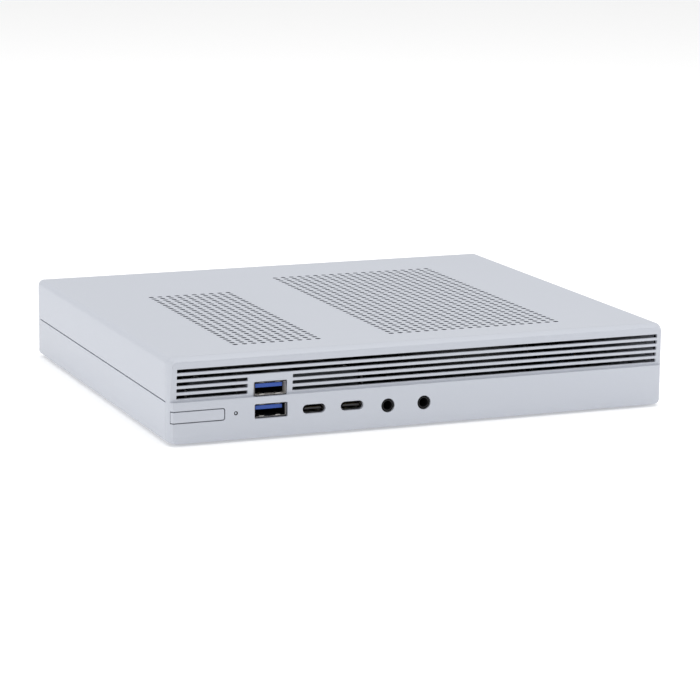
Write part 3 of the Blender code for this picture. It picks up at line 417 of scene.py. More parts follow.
# ---- Front bezel --------------------------------------------------------------------------------
LEDGE_Z = BEZEL.z0 + 15.65
GRILLE_LEAN = 1.4
GRILLE_TOP_Z = BEZEL.z1 - 1.8
GRILLE_WALL = 1.3
CAVITY_HALF = BEZEL.x1 - 2.3
SLOT_COUNT = 5
FULL_SLOTS = 2
SLOT_TOP_Z = BEZEL.z1 - 4.6
SLOT_PITCH = 2.49
SLOT_HEIGHT = 1.4
SLOT_LEFT_X = BEZEL.x0 + 3.2
SLOT_RIGHT_X = BEZEL.x1 - 3.0
USB_SHELL = Limits("front_usb_shell")
TONGUES = [Limits("front_usb_tongue_lower"), Limits("front_usb_tongue_upper")]
TONGUE_RISE = 0.85          # the tongue's middle above the opening's middle
USB_LEVELS = [tongue.z - TONGUE_RISE for tongue in TONGUES]
USB_WINDOW = (13.1, 5.6)
USB_MOUTH = (12.8, 5.3)
BREAK_LEFT_X = USB_SHELL.x - 8.95
BREAK_RIGHT_X = USB_SHELL.x + 8.85
USB_C = [Limits("front_usb_c_shell_left"), Limits("front_usb_c_shell_right")]
USB_C_Z = Limits("front_usb_c_tongue_left").z
USB_C_WINDOW = (9.2, 3.5)
JACKS = {"headphone": Limits("headphone_jack"), "microphone": Limits("microphone_jack")}
JACK_Z = BEZEL.z0 + 8.3
JACK_WINDOW = 2.7
LIGHT = Limits("status_light_pipe")
LIGHT_HOLE = 0.78
KEY_GAP = 0.35
KEY_LOW_Z = BEZEL.z0 + 8.0
KEY_HIGH_Z = BEZEL.z0 + 12.05
KEY_RIGHT_X = BEZEL.x0 + 21.45
KEY_WRAP_X = BEZEL.x0 + 0.9
KEY_THICK = 2.0
KEY_WRAP_THICK = 1.0
KEY_PLAY = 0.42             # room behind the key
KEY_FLANGE_X = -98.5
KEY_STEM_X = (-93.2, -90.8)


def bezel_section(y, draw, edge):
    """Outline of the bezel's skin at y. draw runs from 0 at full size to 1 at the face."""
    side = BEZEL.x1 - TAPER_SIDE * draw - edge
    low = BEZEL.z0 + edge
    high = BEZEL.z1 - TAPER_TOP * draw - edge
    low_radius = BOTTOM_RADIUS + (FACE_RADIUS - BOTTOM_RADIUS) * draw
    high_radius = TOP_RADIUS + (FACE_RADIUS - TOP_RADIUS) * draw
    return [(x, y, z) for x, z in rounded(-side, side, low, high, low_radius, high_radius, 8)]


def bezel_skin():
    start_y = BEZEL.y1 - TAPER_START
    end_y = BEZEL.y0 + FACE_EDGE
    sections = [bezel_section(BEZEL.y1, 0.0, 0.0)]
    taper_steps = 8
    for step in range(taper_steps + 1):
        part = step / taper_steps
        sections.append(bezel_section(start_y + (end_y - start_y) * part, part ** 1.7, 0.0))
    sections += [bezel_section(y, 1.0, edge) for y, edge in rounding(end_y, -FACE_EDGE, 3, first=1)]
    return shape(add_loft, sections)


def grille_y(z):
    """The leaning grille's face at height z."""
    return BEZEL.y0 + GRILLE_LEAN * (GRILLE_TOP_Z - z) / (GRILLE_TOP_Z - LEDGE_Z)


def bezel_cutters():
    beyond = 1.0
    rear = BEZEL.y1 + beyond
    floor_z = LEDGE_Z - WALL
    hollow = boxes(((-CAVITY_HALF, CAVITY_HALF), (BEZEL.y0 + WALL, rear), (BEZEL.z0 + WALL, floor_z)))
    roof_z = BEZEL.z1 - TAPER_TOP - WALL
    low_z = floor_z - beyond
    upper = shape(add_prism, [(grille_y(low_z) + GRILLE_WALL, low_z), (rear, low_z), (rear, roof_z),
                              (grille_y(roof_z) + GRILLE_WALL, roof_z)],
                  "X", -CAVITY_HALF, CAVITY_HALF)
    top_z = GRILLE_TOP_Z + beyond
    lean = shape(add_prism, [(grille_y(top_z), top_z), (grille_y(LEDGE_Z), LEDGE_Z),
                             (BEZEL.y0 - beyond, LEDGE_Z), (BEZEL.y0 - beyond, top_z)],
                 "X", BEZEL.x0 - beyond, BEZEL.x1 + beyond)
    slots = bmesh.new()
    through = (BEZEL.y0 - beyond, BEZEL.y0 + 4.0)
    for row in range(SLOT_COUNT):
        middle = SLOT_TOP_Z - row * SLOT_PITCH
        spans = [(SLOT_LEFT_X, SLOT_RIGHT_X)]
        if row >= FULL_SLOTS:
            spans = [(SLOT_LEFT_X, BREAK_LEFT_X), (BREAK_RIGHT_X, SLOT_RIGHT_X)]
        for x0, x1 in spans:
            outline = rounded(x0, x1, middle - SLOT_HEIGHT / 2, middle + SLOT_HEIGHT / 2, 0.18, steps=2)
            add_prism(slots, outline, "Y", *through)
    windows = bmesh.new()
    for z in USB_LEVELS:
        add_prism(windows, centred(USB_SHELL.x, z, *USB_WINDOW, 0.45, 3), "Y", *through)
    for port in USB_C:
        add_prism(windows, centred(port.x, USB_C_Z, *USB_C_WINDOW, USB_C_WINDOW[1] / 2 - 0.01, 8),
                  "Y", *through)
    for jack in JACKS.values():
        add_rod(windows, "Y", (jack.x, JACK_Z), JACK_WINDOW, *through, steps=48)
    add_rod(windows, "Y", (LIGHT.x, LIGHT.z), LIGHT_HOLE, *through, steps=20)
    z_range = (KEY_LOW_Z - KEY_GAP, KEY_HIGH_Z + KEY_GAP)
    notch = shape(add_prism, rounded(KEY_WRAP_X - 8.0, KEY_RIGHT_X + KEY_GAP, *z_range, 0.95, steps=4),
                  "Y", BEZEL.y0 - beyond, BEZEL.y0 + KEY_THICK + KEY_PLAY)
    keep = boxes(((KEY_WRAP_X - 9.0, KEY_WRAP_X), (BEZEL.y0 + KEY_WRAP_THICK + KEY_PLAY, rear),
                  (z_range[0] - 1.0, z_range[1] + 1.0)))
    return [hollow, upper, lean, slots, windows], notch, keep


def front_bezel():
    cutters, notch, keep = bezel_cutters()
    skin = new_object("notch_tool", notch)
    bake(skin, add_booleans(skin, [("DIFFERENCE", keep)]))
    notch_bm = bmesh.new()
    notch_bm.from_mesh(skin.data)
    bmesh.ops.scale(notch_bm, vec=(1 / MM, 1 / MM, 1 / MM), verts=notch_bm.verts)
    bpy.data.objects.remove(skin)
    steps = [("DIFFERENCE", cutter) for cutter in [*cutters, notch_bm]]
    obj = place("front_bezel_skin", bezel_skin(), CASE_PLASTIC, "front_bezel", steps, "cover", 0.1, 30)

    # Faces behind the bezel's front wall, inside the painted height band, get painted shade instead of the
    # case plastic.
    def inside(centre, normal):
        x, y, z = centre
        wall = BEZEL.y0 + WALL if z < LEDGE_Z - WALL else grille_y(z) + GRILLE_WALL
        painted_dark = BEZEL.z0 + 0.8 < z < BEZEL.z1 - TAPER_TOP - WALL + 0.1
        return painted_dark and abs(x) < CAVITY_HALF + 0.05 and y > wall - 0.1
    paint_faces(obj, INNER_PAINTED_SHADE, inside)


def power_key():
    key_back = BEZEL.y0 + KEY_THICK
    block = shape(add_prism, rounded(BEZEL.x0 - 8.0, KEY_RIGHT_X, KEY_LOW_Z, KEY_HIGH_Z, 0.7, steps=4),
                  "Y", BEZEL.y0 - 1.0, key_back)
    relief = boxes(((BEZEL.x0 - 1.0, KEY_WRAP_X + 0.04), (BEZEL.y0 + KEY_WRAP_THICK, key_back + 1.0),
                    (KEY_LOW_Z - 1.0, KEY_HIGH_Z + 1.0)))
    flange = boxes(((KEY_FLANGE_X, KEY_RIGHT_X + 1.6), (key_back - 0.15, key_back + 0.8),
                    (KEY_LOW_Z - 1.4, LEDGE_Z - WALL - 0.4)))
    middle = (KEY_LOW_Z + KEY_HIGH_Z) / 2
    stem = boxes((KEY_STEM_X, (key_back + 0.5, KEY.y1), span(middle, 1.2)))
    steps = [("INTERSECT", block), ("DIFFERENCE", relief), ("UNION", flange), ("UNION", stem)]
    place("power_key", bezel_skin(), CASE_PLASTIC, "power_button", steps, "power_key", 0.16, 30)


def status_light():
    profile = [(0.2, BEZEL.y0 + 0.12), (0.42, BEZEL.y0 + 0.3), (0.42, BEZEL.y0 + 2.4),
               (1.0, BEZEL.y0 + 2.6), (1.0, LIGHT.y1)]
    place("status_light", shape(add_turned, "Y", (LIGHT.x, LIGHT.z), profile, 24), LENS,
          "status_light_pipe", body="cover")
    # A black ring fills the gap round the light pipe and darkens the hole's edge.
    bush = shape(add_tube, "Y", circle(LIGHT.x, LIGHT.z, LIGHT_HOLE - 0.02, 24),
                 circle(LIGHT.x, LIGHT.z, 0.47, 24), BEZEL.y0 + 0.08, BEZEL.y0 + 1.2)
    place("status_light_dark_ring", bush, BLACK, body="cover")


# ---- Front sockets ------------------------------------------------------------------------------
def inward(mouth_y, facing):
    """Turns depths behind a mouth into ranges of y. facing is 1 at the rear and -1 at the front."""
    return lambda start, end: tuple(sorted((mouth_y - facing * start, mouth_y - facing * end)))


def usb_port(bm_shell, bm_back_and_shade_plates, bm_springs, x, z, mouth_y, facing, bare=1.3, depth=12.0):
    """One USB-A mouth: pressed shell, springs, black back block, and painted shade plates from bare mm
    inside.
    """
    y_span = inward(mouth_y, facing)
    outer = centred(x, z, *USB_MOUTH, 0.5, 3)
    inner = centred(x, z, USB_MOUTH[0] - 0.6, USB_MOUTH[1] - 0.6, 0.3, 3)
    tube = shape(add_tube, "Y", outer, inner, *y_span(0, depth))
    temporary = bpy.data.meshes.new("tube")
    tube.to_mesh(temporary)
    tube.free()
    bm_shell.from_mesh(temporary)
    bpy.data.meshes.remove(temporary)
    half_x, half_z = USB_MOUTH[0] / 2 - 0.32, USB_MOUTH[1] / 2 - 0.32
    # A black block at the back, then thin near-black plates on the shell's floor, ceiling and sides: painted
    # shade inside the mouth.
    add_box(bm_back_and_shade_plates, span(x, half_x), y_span(depth - 1.0, depth), span(z, half_z))
    for low, high in ((-half_z, -half_z + 0.12), (half_z - 0.12, half_z)):
        add_box(bm_back_and_shade_plates, span(x, half_x), y_span(bare, depth - 1.0), (z + low, z + high))
    for u in (x - half_x, x + half_x - 0.12):
        add_box(bm_back_and_shade_plates, (u, u + 0.12), y_span(bare * 1.2, depth - 1.0), span(z, half_z - 0.15))
    for spring_x in span(x, 3.2):
        for low, high in ((z - half_z - 0.02, z - half_z + 0.3), (z + half_z - 0.22, z + half_z + 0.02)):
            add_box(bm_springs, span(spring_x, 1.0), y_span(0.7, 3.4), (low, high))


def usb_tongue(bm_tongue, bm_contacts, x, z, mouth_y, facing, depth=12.0):
    """The insulator board, with one row of contacts on its underside."""
    y_span = inward(mouth_y, facing)
    low, high = z + 0.2, z + 1.75
    add_box(bm_tongue, (x - 5.5, x + 5.2), y_span(1.5, depth - 0.6), (low, high))
    for offset in (-3.5, -1.0, 1.0, 3.5):
        add_box(bm_contacts, span(x + offset, 0.5), y_span(2.6, 8.0), (low - 0.12, low + 0.05))


def usb_tunnels(x, low, high):
    tunnels = bmesh.new()
    for z in USB_LEVELS:
        add_prism(tunnels, centred(x, z, USB_MOUTH[0] - 0.1, USB_MOUTH[1] - 0.1, 0.45, 3), "Y", low, high)
    return tunnels


def is_level(centre, normal):
    return abs(normal.z) > 0.5


def is_front_rim(centre, normal):
    return normal.y < -0.5


def usb_details(side, back_and_shade_plates, springs, contacts):
    # Back blocks and painted shade plates of the mouths.
    place(f"{side}_usb_back_and_shade_plates", back_and_shade_plates, MATT_BLACK)
    place(f"{side}_usb_springs", springs, SHELL, bevel=0.06)
    place(f"{side}_usb_contacts", contacts, GOLD)


def front_usb():
    shell, back_and_shade_plates, springs, contacts = [bmesh.new() for _ in range(4)]
    mouth_y = USB_SHELL.y0
    for level, z, bare in zip(("lower", "upper"), USB_LEVELS, (0.7, 3.0)):
        usb_port(shell, back_and_shade_plates, springs, USB_SHELL.x, z, mouth_y, -1, bare)
        tongue = bmesh.new()
        usb_tongue(tongue, contacts, USB_SHELL.x, z, mouth_y, -1)
        board = place(f"front_usb_insulator_{level}", tongue, BLUE, f"front_usb_tongue_{level}",
                      bevel=0.12)
        # The tongue's top and bottom faces are painted black: painted shade on the blue insulator.
        paint_faces(board, BLACK, is_level)
    body = shape(add_prism, rounded(USB_SHELL.x0, USB_SHELL.x1, USB_SHELL.z0, USB_SHELL.z1, 0.6, steps=3),
                 "Y", mouth_y + 2.6, USB_SHELL.y1)
    tunnels = usb_tunnels(USB_SHELL.x, mouth_y, mouth_y + 12.0)
    place("front_usb_stack", body, SHELL, "front_usb_shell", [("DIFFERENCE", tunnels)], bevel=0.12)
    # The front mouths take the lighter copy of the shell steel: painted light.
    mouths = place("front_usb_mouths", shell, MOUTH_STEEL_PAINTED_LIGHT, bevel=0.05)
    # The mouths' front rims get painted shade.
    paint_faces(mouths, RIM_PAINTED_SHADE, is_front_rim)
    usb_details("front", back_and_shade_plates, springs, contacts)


def front_usb_c():
    for side, port in zip(("left", "right"), USB_C):
        x, z = port.x, USB_C_Z
        shell = bmesh.new()
        add_tube(shell, "Y", centred(x, z, 8.94, 3.2, 1.59, 10), centred(x, z, 8.34, 2.6, 1.29, 10),
                 port.y0, port.y1)
        can = place(f"front_usb_c_can_{side}", shell, SHELL, f"front_usb_c_shell_{side}", bevel=0.05)
        # The can's front rim gets painted shade.
        paint_faces(can, RIM_PAINTED_SHADE, is_front_rim)
        back = shape(add_prism, centred(x, z, 8.36, 2.62, 1.3, 8), "Y", port.y1 - 1.2, port.y1 - 0.1)
        add_box(back, span(x, 3.6), (port.y0 + 4.4, port.y1 - 0.6), span(z, 0.62))
        place(f"front_usb_c_base_{side}", back, MATT_BLACK)
        feet = boxes(((x - 4.3, x - 3.5), (port.y1 - 5.0, port.y1 - 1.0), (BOARD.z1 - 1.0, z - 0.6)),
                     ((x + 3.5, x + 4.3), (port.y1 - 5.0, port.y1 - 1.0), (BOARD.z1 - 1.0, z - 0.6)),
                     (span(x, 3.4), (port.y1 - 4.0, port.y1), (BOARD.z1, z - 1.4)))
        place(f"front_usb_c_feet_{side}", feet, SHELL, bevel=0.1)
        tongue = shape(add_prism, centred(x, z, 6.7, 0.72, 0.25, 3), "Y", port.y0 + 0.5, port.y1 - 0.9)
        place(f"front_usb_c_insulator_{side}", tongue, BLACK, f"front_usb_c_tongue_{side}", bevel=0.08)
        contacts = bmesh.new()
        for u in spaced(x - 2.75, 0.5, 12):
            for low in (z - 0.39, z + 0.33):
                add_box(contacts, span(u, 0.13), (port.y0 + 0.9, port.y0 + 4.2), (low, low + 0.06))
        place(f"front_usb_c_contacts_{side}", contacts, GOLD)


def audio_jacks():
    for name, jack in JACKS.items():
        x, z = jack.x, JACK_Z
        front = BEZEL.y0 + 0.35
        body = shape(add_prism, rounded(jack.x0, jack.x1, jack.z0, jack.z1, 0.3, steps=2), "Y",
                     BEZEL.y0 + 3.4, jack.y1)
        barrel = shape(add_turned, "Y", (x, z),
                       [(2.2, 0.0), (2.45, 0.1), (2.55, 0.4), (2.55, 4.0)], 48, front)
        bore = shape(add_turned, "Y", (x, z), [(2.4, front - 0.35), (2.05, front + 0.05),
                                               (1.8, front + 0.5), (1.8, jack.y1 - 2.0)], 48)
        place(f"{name}_jack_body", body, MATT_BLACK, f"{name}_jack",
              [("UNION", barrel), ("DIFFERENCE", bore)], angle=40)
        lip = shape(add_tube, "Y", circle(x, z, 2.05, 48), circle(x, z, 1.85, 48), front + 0.05, front + 0.6)
        place(f"{name}_jack_lip", lip, BLACK, bevel=0.06)
        spring = boxes((span(x, 0.5), (front + 3.0, front + 9.0), (z + 1.3, z + 1.7)))
        place(f"{name}_jack_spring", spring, GOLD, bevel=0.1)


# ---- Cover --------------------------------------------------------------------------------------
HOLE_RADIUS = 1.1
HOLE_STEPS = 16
HOLE_LIP = 0.06
PITCH_X = 3.71
PITCH_Y = 3.63
VENTS = [(-70.0, -69.0, 10, 29), (-6.2, -68.8, 20, 36)]     # first hole x, y, columns, rows
VENT_LIMIT_X = 80.0
PART_GAP = 0.5              # groove between the cover's side and the lower case
CASE_TOP = COVER.z0 - PART_GAP
GROOVE_END = 3.3            # the groove closes this far in front of the rear edge
THUMB_X = 92.0
THUMB_Z = 26.0
BOSS_Y = 79.6


def cover_section(y, edge, foot):
    side = COVER.x1 - edge
    top = COVER.z1 - edge
    inner = COVER.x1 - WALL
    under = COVER.z1 - WALL
    radius = TOP_RADIUS - WALL
    outline = (
        [(-side, foot)]
        + arc(-side + TOP_RADIUS, top - TOP_RADIUS, TOP_RADIUS, 180, 90, 8)
        + arc(side - TOP_RADIUS, top - TOP_RADIUS, TOP_RADIUS, 90, 0, 8)
        + [(side, foot), (inner, foot)]
        + arc(inner - radius, under - radius, radius, 0, 90, 3)
        + arc(-inner + radius, under - radius, radius, 90, 180, 3)
        + [(-inner, foot)]
    )
    return [(x, y, z) for x, z in outline]


def perforated(bm, first_x, first_y, columns, rows, top, bottom):
    """A field of round holes through a plate, with small rounded lips."""
    turns = [2 * math.pi * k / HOLE_STEPS for k in range(HOLE_STEPS)]
    cell = []
    for a in turns:
        reach = max(abs(math.cos(a)), abs(math.sin(a)))
        cell.append((math.cos(a) / reach * PITCH_X / 2, math.sin(a) / reach * PITCH_Y / 2))
    levels = ((HOLE_RADIUS + HOLE_LIP, top), (HOLE_RADIUS, top - HOLE_LIP), (HOLE_RADIUS, bottom))
    for column in range(columns):
        for row in range(rows):
            x = first_x + column * PITCH_X
            y = first_y + row * PITCH_Y
            rings = [[(x + u, y + v, top) for u, v in cell]]
            rings += [[(x + r * math.cos(a), y + r * math.sin(a), z) for a in turns] for r, z in levels]
            rings.append([(x + u, y + v, bottom) for u, v in cell])
            add_loft(bm, rings, caps=False)


def top_cover():
    """Roof and upper sides. Both vent fields are real round holes through the roof."""
    bm = bmesh.new()
    rear = COVER.y1
    sections = [cover_section(BEZEL.y1, 0.0, COVER.z0), cover_section(rear - GROOVE_END, 0.0, COVER.z0),
                cover_section(rear - GROOVE_END + 0.01, 0.0, CASE_TOP)]
    sections += [cover_section(y, edge, CASE_TOP) for y, edge in rounding(rear - REAR_RIM, REAR_RIM, 4)]
    roof_edge, ceiling_edge = 9, 25
    add_loft(bm, sections, skip={(0, roof_edge), (0, ceiling_edge)})
    top, bottom = COVER.z1, COVER.z1 - WALL
    for field in VENTS:
        perforated(bm, *field, top, bottom)
    bmesh.ops.remove_doubles(bm, verts=bm.verts, dist=1e-4)
    for z in (top, bottom):
        rim = [e for e in bm.edges if e.is_boundary and all(abs(v.co.z - z) < 1e-3 for v in e.verts)]
        bmesh.ops.triangle_fill(bm, use_beauty=True, use_dissolve=False, edges=rim, normal=(0, 0, 1))
    obj = place("top_cover_skin", bm, CASE_PLASTIC, "top_cover", body="cover", angle=30)

    # The walls of the holes get painted shade.
    def in_hole(centre, normal):
        return bottom < centre.z < top - HOLE_LIP and abs(centre.x) < VENT_LIMIT_X and abs(normal.z) < 0.1
    paint_faces(obj, HOLE_SHADE, in_hole)
    bosses, threads = bmesh.new(), bmesh.new()
    for x in (-THUMB_X, THUMB_X):
        add_prism(bosses, centred(x, BOSS_Y, 8.0, 6.6, 1.0, 3), "Z", THUMB_Z - 4.0, bottom + 0.2)
        add_rod(threads, "Y", (x, THUMB_Z), 1.75, BOSS_Y - 4.6, BOSS_Y + 4.4)
    place("cover_bosses", bosses, CASE_PLASTIC, (), [("DIFFERENCE", threads)], "cover", 0.2)


# ---- Lower case ---------------------------------------------------------------------------------
def case_section(y, edge):
    side = CASE.x1 - edge
    base = CASE.z0 + edge
    inner = CASE.x1 - WALL
    lip_outer = inner - 0.3
    lip_inner = lip_outer - 0.7
    floor_top = CASE.z0 + FLOOR
    right = [(lip_outer, CASE_TOP), (lip_outer, CASE.z1), (lip_inner, CASE.z1), (lip_inner, 14.0),
             (inner, 13.0), (inner, floor_top)]
    outline = (
        [(-side, CASE_TOP)]
        + arc(-side + BOTTOM_RADIUS, base + BOTTOM_RADIUS, BOTTOM_RADIUS, 180, 270, 6)
        + arc(side - BOTTOM_RADIUS, base + BOTTOM_RADIUS, BOTTOM_RADIUS, 270, 360, 6)
        + [(side, CASE_TOP)] + right + [(-x, z) for x, z in reversed(right)]
    )
    return [(x, y, z) for x, z in outline]


FEET = ["front_left", "front_right", "rear_left", "rear_right"]
BRACKET_HALF = 37.5         # holes for a display bracket, 75 mm apart
COOLER_X = 31.0             # the floor vents lie under the fan
FLOOR_VENT_Y = (-8.0, 62.0)


def lower_case():
    front = BEZEL.y1 + 0.12
    sections = [case_section(front, 0.0)]
    sections += [case_section(y, edge) for y, edge in rounding(CASE.y1 - REAR_RIM, REAR_RIM, 3)]
    cuts = bmesh.new()
    for name in FEET:
        foot = Limits(f"foot_{name}")
        add_rod(cuts, "Z", (foot.x, foot.y), 6.9, CASE.z0 - 1.0, CASE.z0 + 0.6, steps=40)
    for x in span(0.0, BRACKET_HALF):
        for y in span(0.0, BRACKET_HALF):
            add_rod(cuts, "Z", (x, y), 1.8, 0.0, 6.0, steps=24)
    for x in spaced_about(COOLER_X, 7.0, 9):
        for y in FLOOR_VENT_Y:
            add_prism(cuts, centred(x, y, 3.0, 28.0, 1.45, 4), "Z", 0.0, 4.0)
    ends = bmesh.new()
    for side in (-1, 1):
        x_range = sorted((side * (CASE.x1 - WALL - 1.2), side * (CASE.x1 - WALL + 0.2)))
        for y_range in ((front - 1.0, front + 2.2), (CASE.y1 - GROOVE_END - 1.6, CASE.y1 - GROOVE_END)):
            add_box(ends, x_range, y_range, (CASE_TOP - 0.4, CASE.z1 + 1.0))
    place("lower_case_skin", shape(add_loft, sections), CASE_PLASTIC, "bottom_chassis",
          [("DIFFERENCE", cuts), ("DIFFERENCE", ends)], bevel=0.12)


def rating_label():
    label = shape(add_prism, centred(-60.0, 0.0, 34.0, 52.0, 2.0, 4), "Z", CASE.z0 - 0.06, CASE.z0 + 0.02)
    place("blank_rating_label", label, STICKER)


def feet():
    for name in FEET:
        foot = Limits(f"foot_{name}")
        radius = (foot.x1 - foot.x0) / 2
        rim = 0.35
        profile = [(radius, foot.z1), (radius, foot.z0 + rim), (radius - 0.1, foot.z0 + 0.1),
                   (radius - rim, foot.z0), (radius - 1.6, foot.z0), (radius - 1.8, foot.z0 + 0.2),
                   (0.5, foot.z0 + 0.2)]
        place(f"rubber_foot_{name}", shape(add_turned, "Z", (foot.x, foot.y), profile, 48), RUBBER,
              f"foot_{name}")


# ---- Rear side ----------------------------------------------------------------------------------
POWER_Z = 12.6
LOCK_SLOT = (-83.0, 12.0)   # middle of the slot for a cable lock, as x and z


def add_thread(profile, radius, start, end, pitch=0.6, depth=0.12):
    """Adds thread rings to a turned profile."""
    t = start
    while t < end:
        profile += [(radius, t), (radius - depth, t + pitch / 2)]
        t += pitch


def thumbscrews():
    for side in ("left", "right"):
        screw = Limits(f"thumbscrew_{side}")
        centre = (screw.x, screw.z)
        teeth = 40
        outline = []
        for tooth in range(teeth):
            for part, radius in ((0.0, 4.4), (0.35, 4.4), (0.5, 4.12), (0.85, 4.12)):
                angle = 2 * math.pi * (tooth + part) / teeth
                outline.append((centre[0] + radius * math.cos(angle), centre[1] + radius * math.sin(angle)))
        head = shape(add_prism, outline, "Y", screw.y1 - 2.6, screw.y1)
        slot_y = (screw.y1 - 1.2, screw.y1 + 1.0)
        profile = []
        add_thread(profile, 1.45, screw.y0, screw.y1 - 4.0)
        profile += [(1.45, screw.y1 - 3.6), (1.45, screw.y1 - 2.0)]
        cross = boxes((span(screw.x, 2.4), slot_y, span(screw.z, 0.45)))
        upright = boxes((span(screw.x, 0.45), slot_y, span(screw.z, 2.4)))
        steps = [("UNION", shape(add_turned, "Y", centre, profile, 24)), ("DIFFERENCE", cross),
                 ("DIFFERENCE", upright)]
        place(f"knurled_screw_{side}", head, SCREW, f"thumbscrew_{side}", steps, f"{side}_thumbscrew",
              bevel=0.1, angle=50)


def rear_usb():
    mouth_y = Limits("rear_usb_inner").y1
    shell, back_and_shade_plates, springs, contacts = [bmesh.new() for _ in range(4)]
    for name in ("inner", "outer"):
        stack = Limits(f"rear_usb_{name}")
        body = shape(add_prism, rounded(stack.x0, stack.x1, stack.z0, stack.z1, 0.6, steps=3),
                     "Y", stack.y0, mouth_y - 0.3)
        tunnels = usb_tunnels(stack.x, mouth_y - 12.0, mouth_y)
        tongue = bmesh.new()
        for z in USB_LEVELS:
            usb_port(shell, back_and_shade_plates, springs, stack.x, z, mouth_y, 1)
            usb_tongue(tongue, contacts, stack.x, z, mouth_y, 1)
        place(f"rear_usb_stack_{name}", body, SHELL, f"rear_usb_{name}",
              [("DIFFERENCE", tunnels)], bevel=0.12)
        board = place(f"rear_usb_insulator_{name}", tongue, BLUE, bevel=0.12)
        # The tongues' top and bottom faces are painted black: painted shade on the blue insulators.
        paint_faces(board, BLACK, is_level)
    place("rear_usb_mouths", shell, SHELL, bevel=0.08)
    usb_details("rear", back_and_shade_plates, springs, contacts)


def rear_panel():
    """Flat plate with a window for each socket, a row of vents and a folded top flange."""
    clear = 0.1
    through = (PANEL.y0 - 1.0, PANEL.y1 + 1.0)
    low_half = PANEL.x1 - 1.0
    step_z = CASE.z1 + 0.3
    right = [(low_half, PANEL.z0), (low_half, step_z), (PANEL.x1, step_z), (PANEL.x1, PANEL.z1)]
    plate = shape(add_prism, right + [(-x, z) for x, z in reversed(right)], "Y", PANEL.y0, PANEL.y1)
    windows = bmesh.new()
    for name in ("rear_usb_inner", "rear_usb_outer", "lan_socket", "hdmi_socket", "displayport_socket"):
        socket = Limits(name)
        add_prism(windows, rounded(socket.x0 - clear, socket.x1 + clear, socket.z0 - clear,
                                   socket.z1 + clear, 0.5, steps=3), "Y", *through)
    power = Limits("dc_power_socket")
    add_rod(windows, "Y", (power.x, POWER_Z), 4.1, *through, steps=48)
    add_prism(windows, centred(*LOCK_SLOT, 7.0, 3.0, 0.5, 3), "Y", *through)
    for side in ("left", "right"):
        thumb, screw = Limits(f"thumbscrew_{side}"), Limits(f"rear_panel_screw_{side}")
        add_rod(windows, "Y", (thumb.x, thumb.z), 1.9, *through, steps=24)
        add_rod(windows, "Y", (screw.x, screw.z), 1.5, *through, steps=24)
    for x in spaced(-30.0, 3.6, 31):
        add_prism(windows, centred(x, 27.4, 1.8, 4.4, 0.85, 4), "Y", *through)
    place("rear_panel_plate", plate, STEEL, "rear_panel", [("DIFFERENCE", windows)],
          bevel=0.12, angle=60)
    flange = boxes(((-84.0, 84.0), (PANEL.y0 - 4.0, PANEL.y0 + 0.02), (PANEL.z1 - 0.9, PANEL.z1)))
    place("rear_panel_flange", flange, STEEL, bevel=0.2)


MOUTHS = {
    "hdmi_socket": (8.0, [(-5.6, -2.1), (5.6, -2.1), (7.3, -0.6), (7.3, 2.1), (-7.3, 2.1), (-7.3, -0.6)]),
    "displayport_socket": (8.0, [(-7.6, -2.1), (5.6, -2.1), (7.6, -0.1), (7.6, 2.1), (-7.6, 2.1)]),
    "lan_socket": (13.0, [(-5.9, -4.0), (5.9, -4.0), (5.9, 2.6), (3.0, 2.6), (3.0, 4.2), (-3.0, 4.2),
                          (-3.0, 2.6), (-5.9, 2.6)]),
}


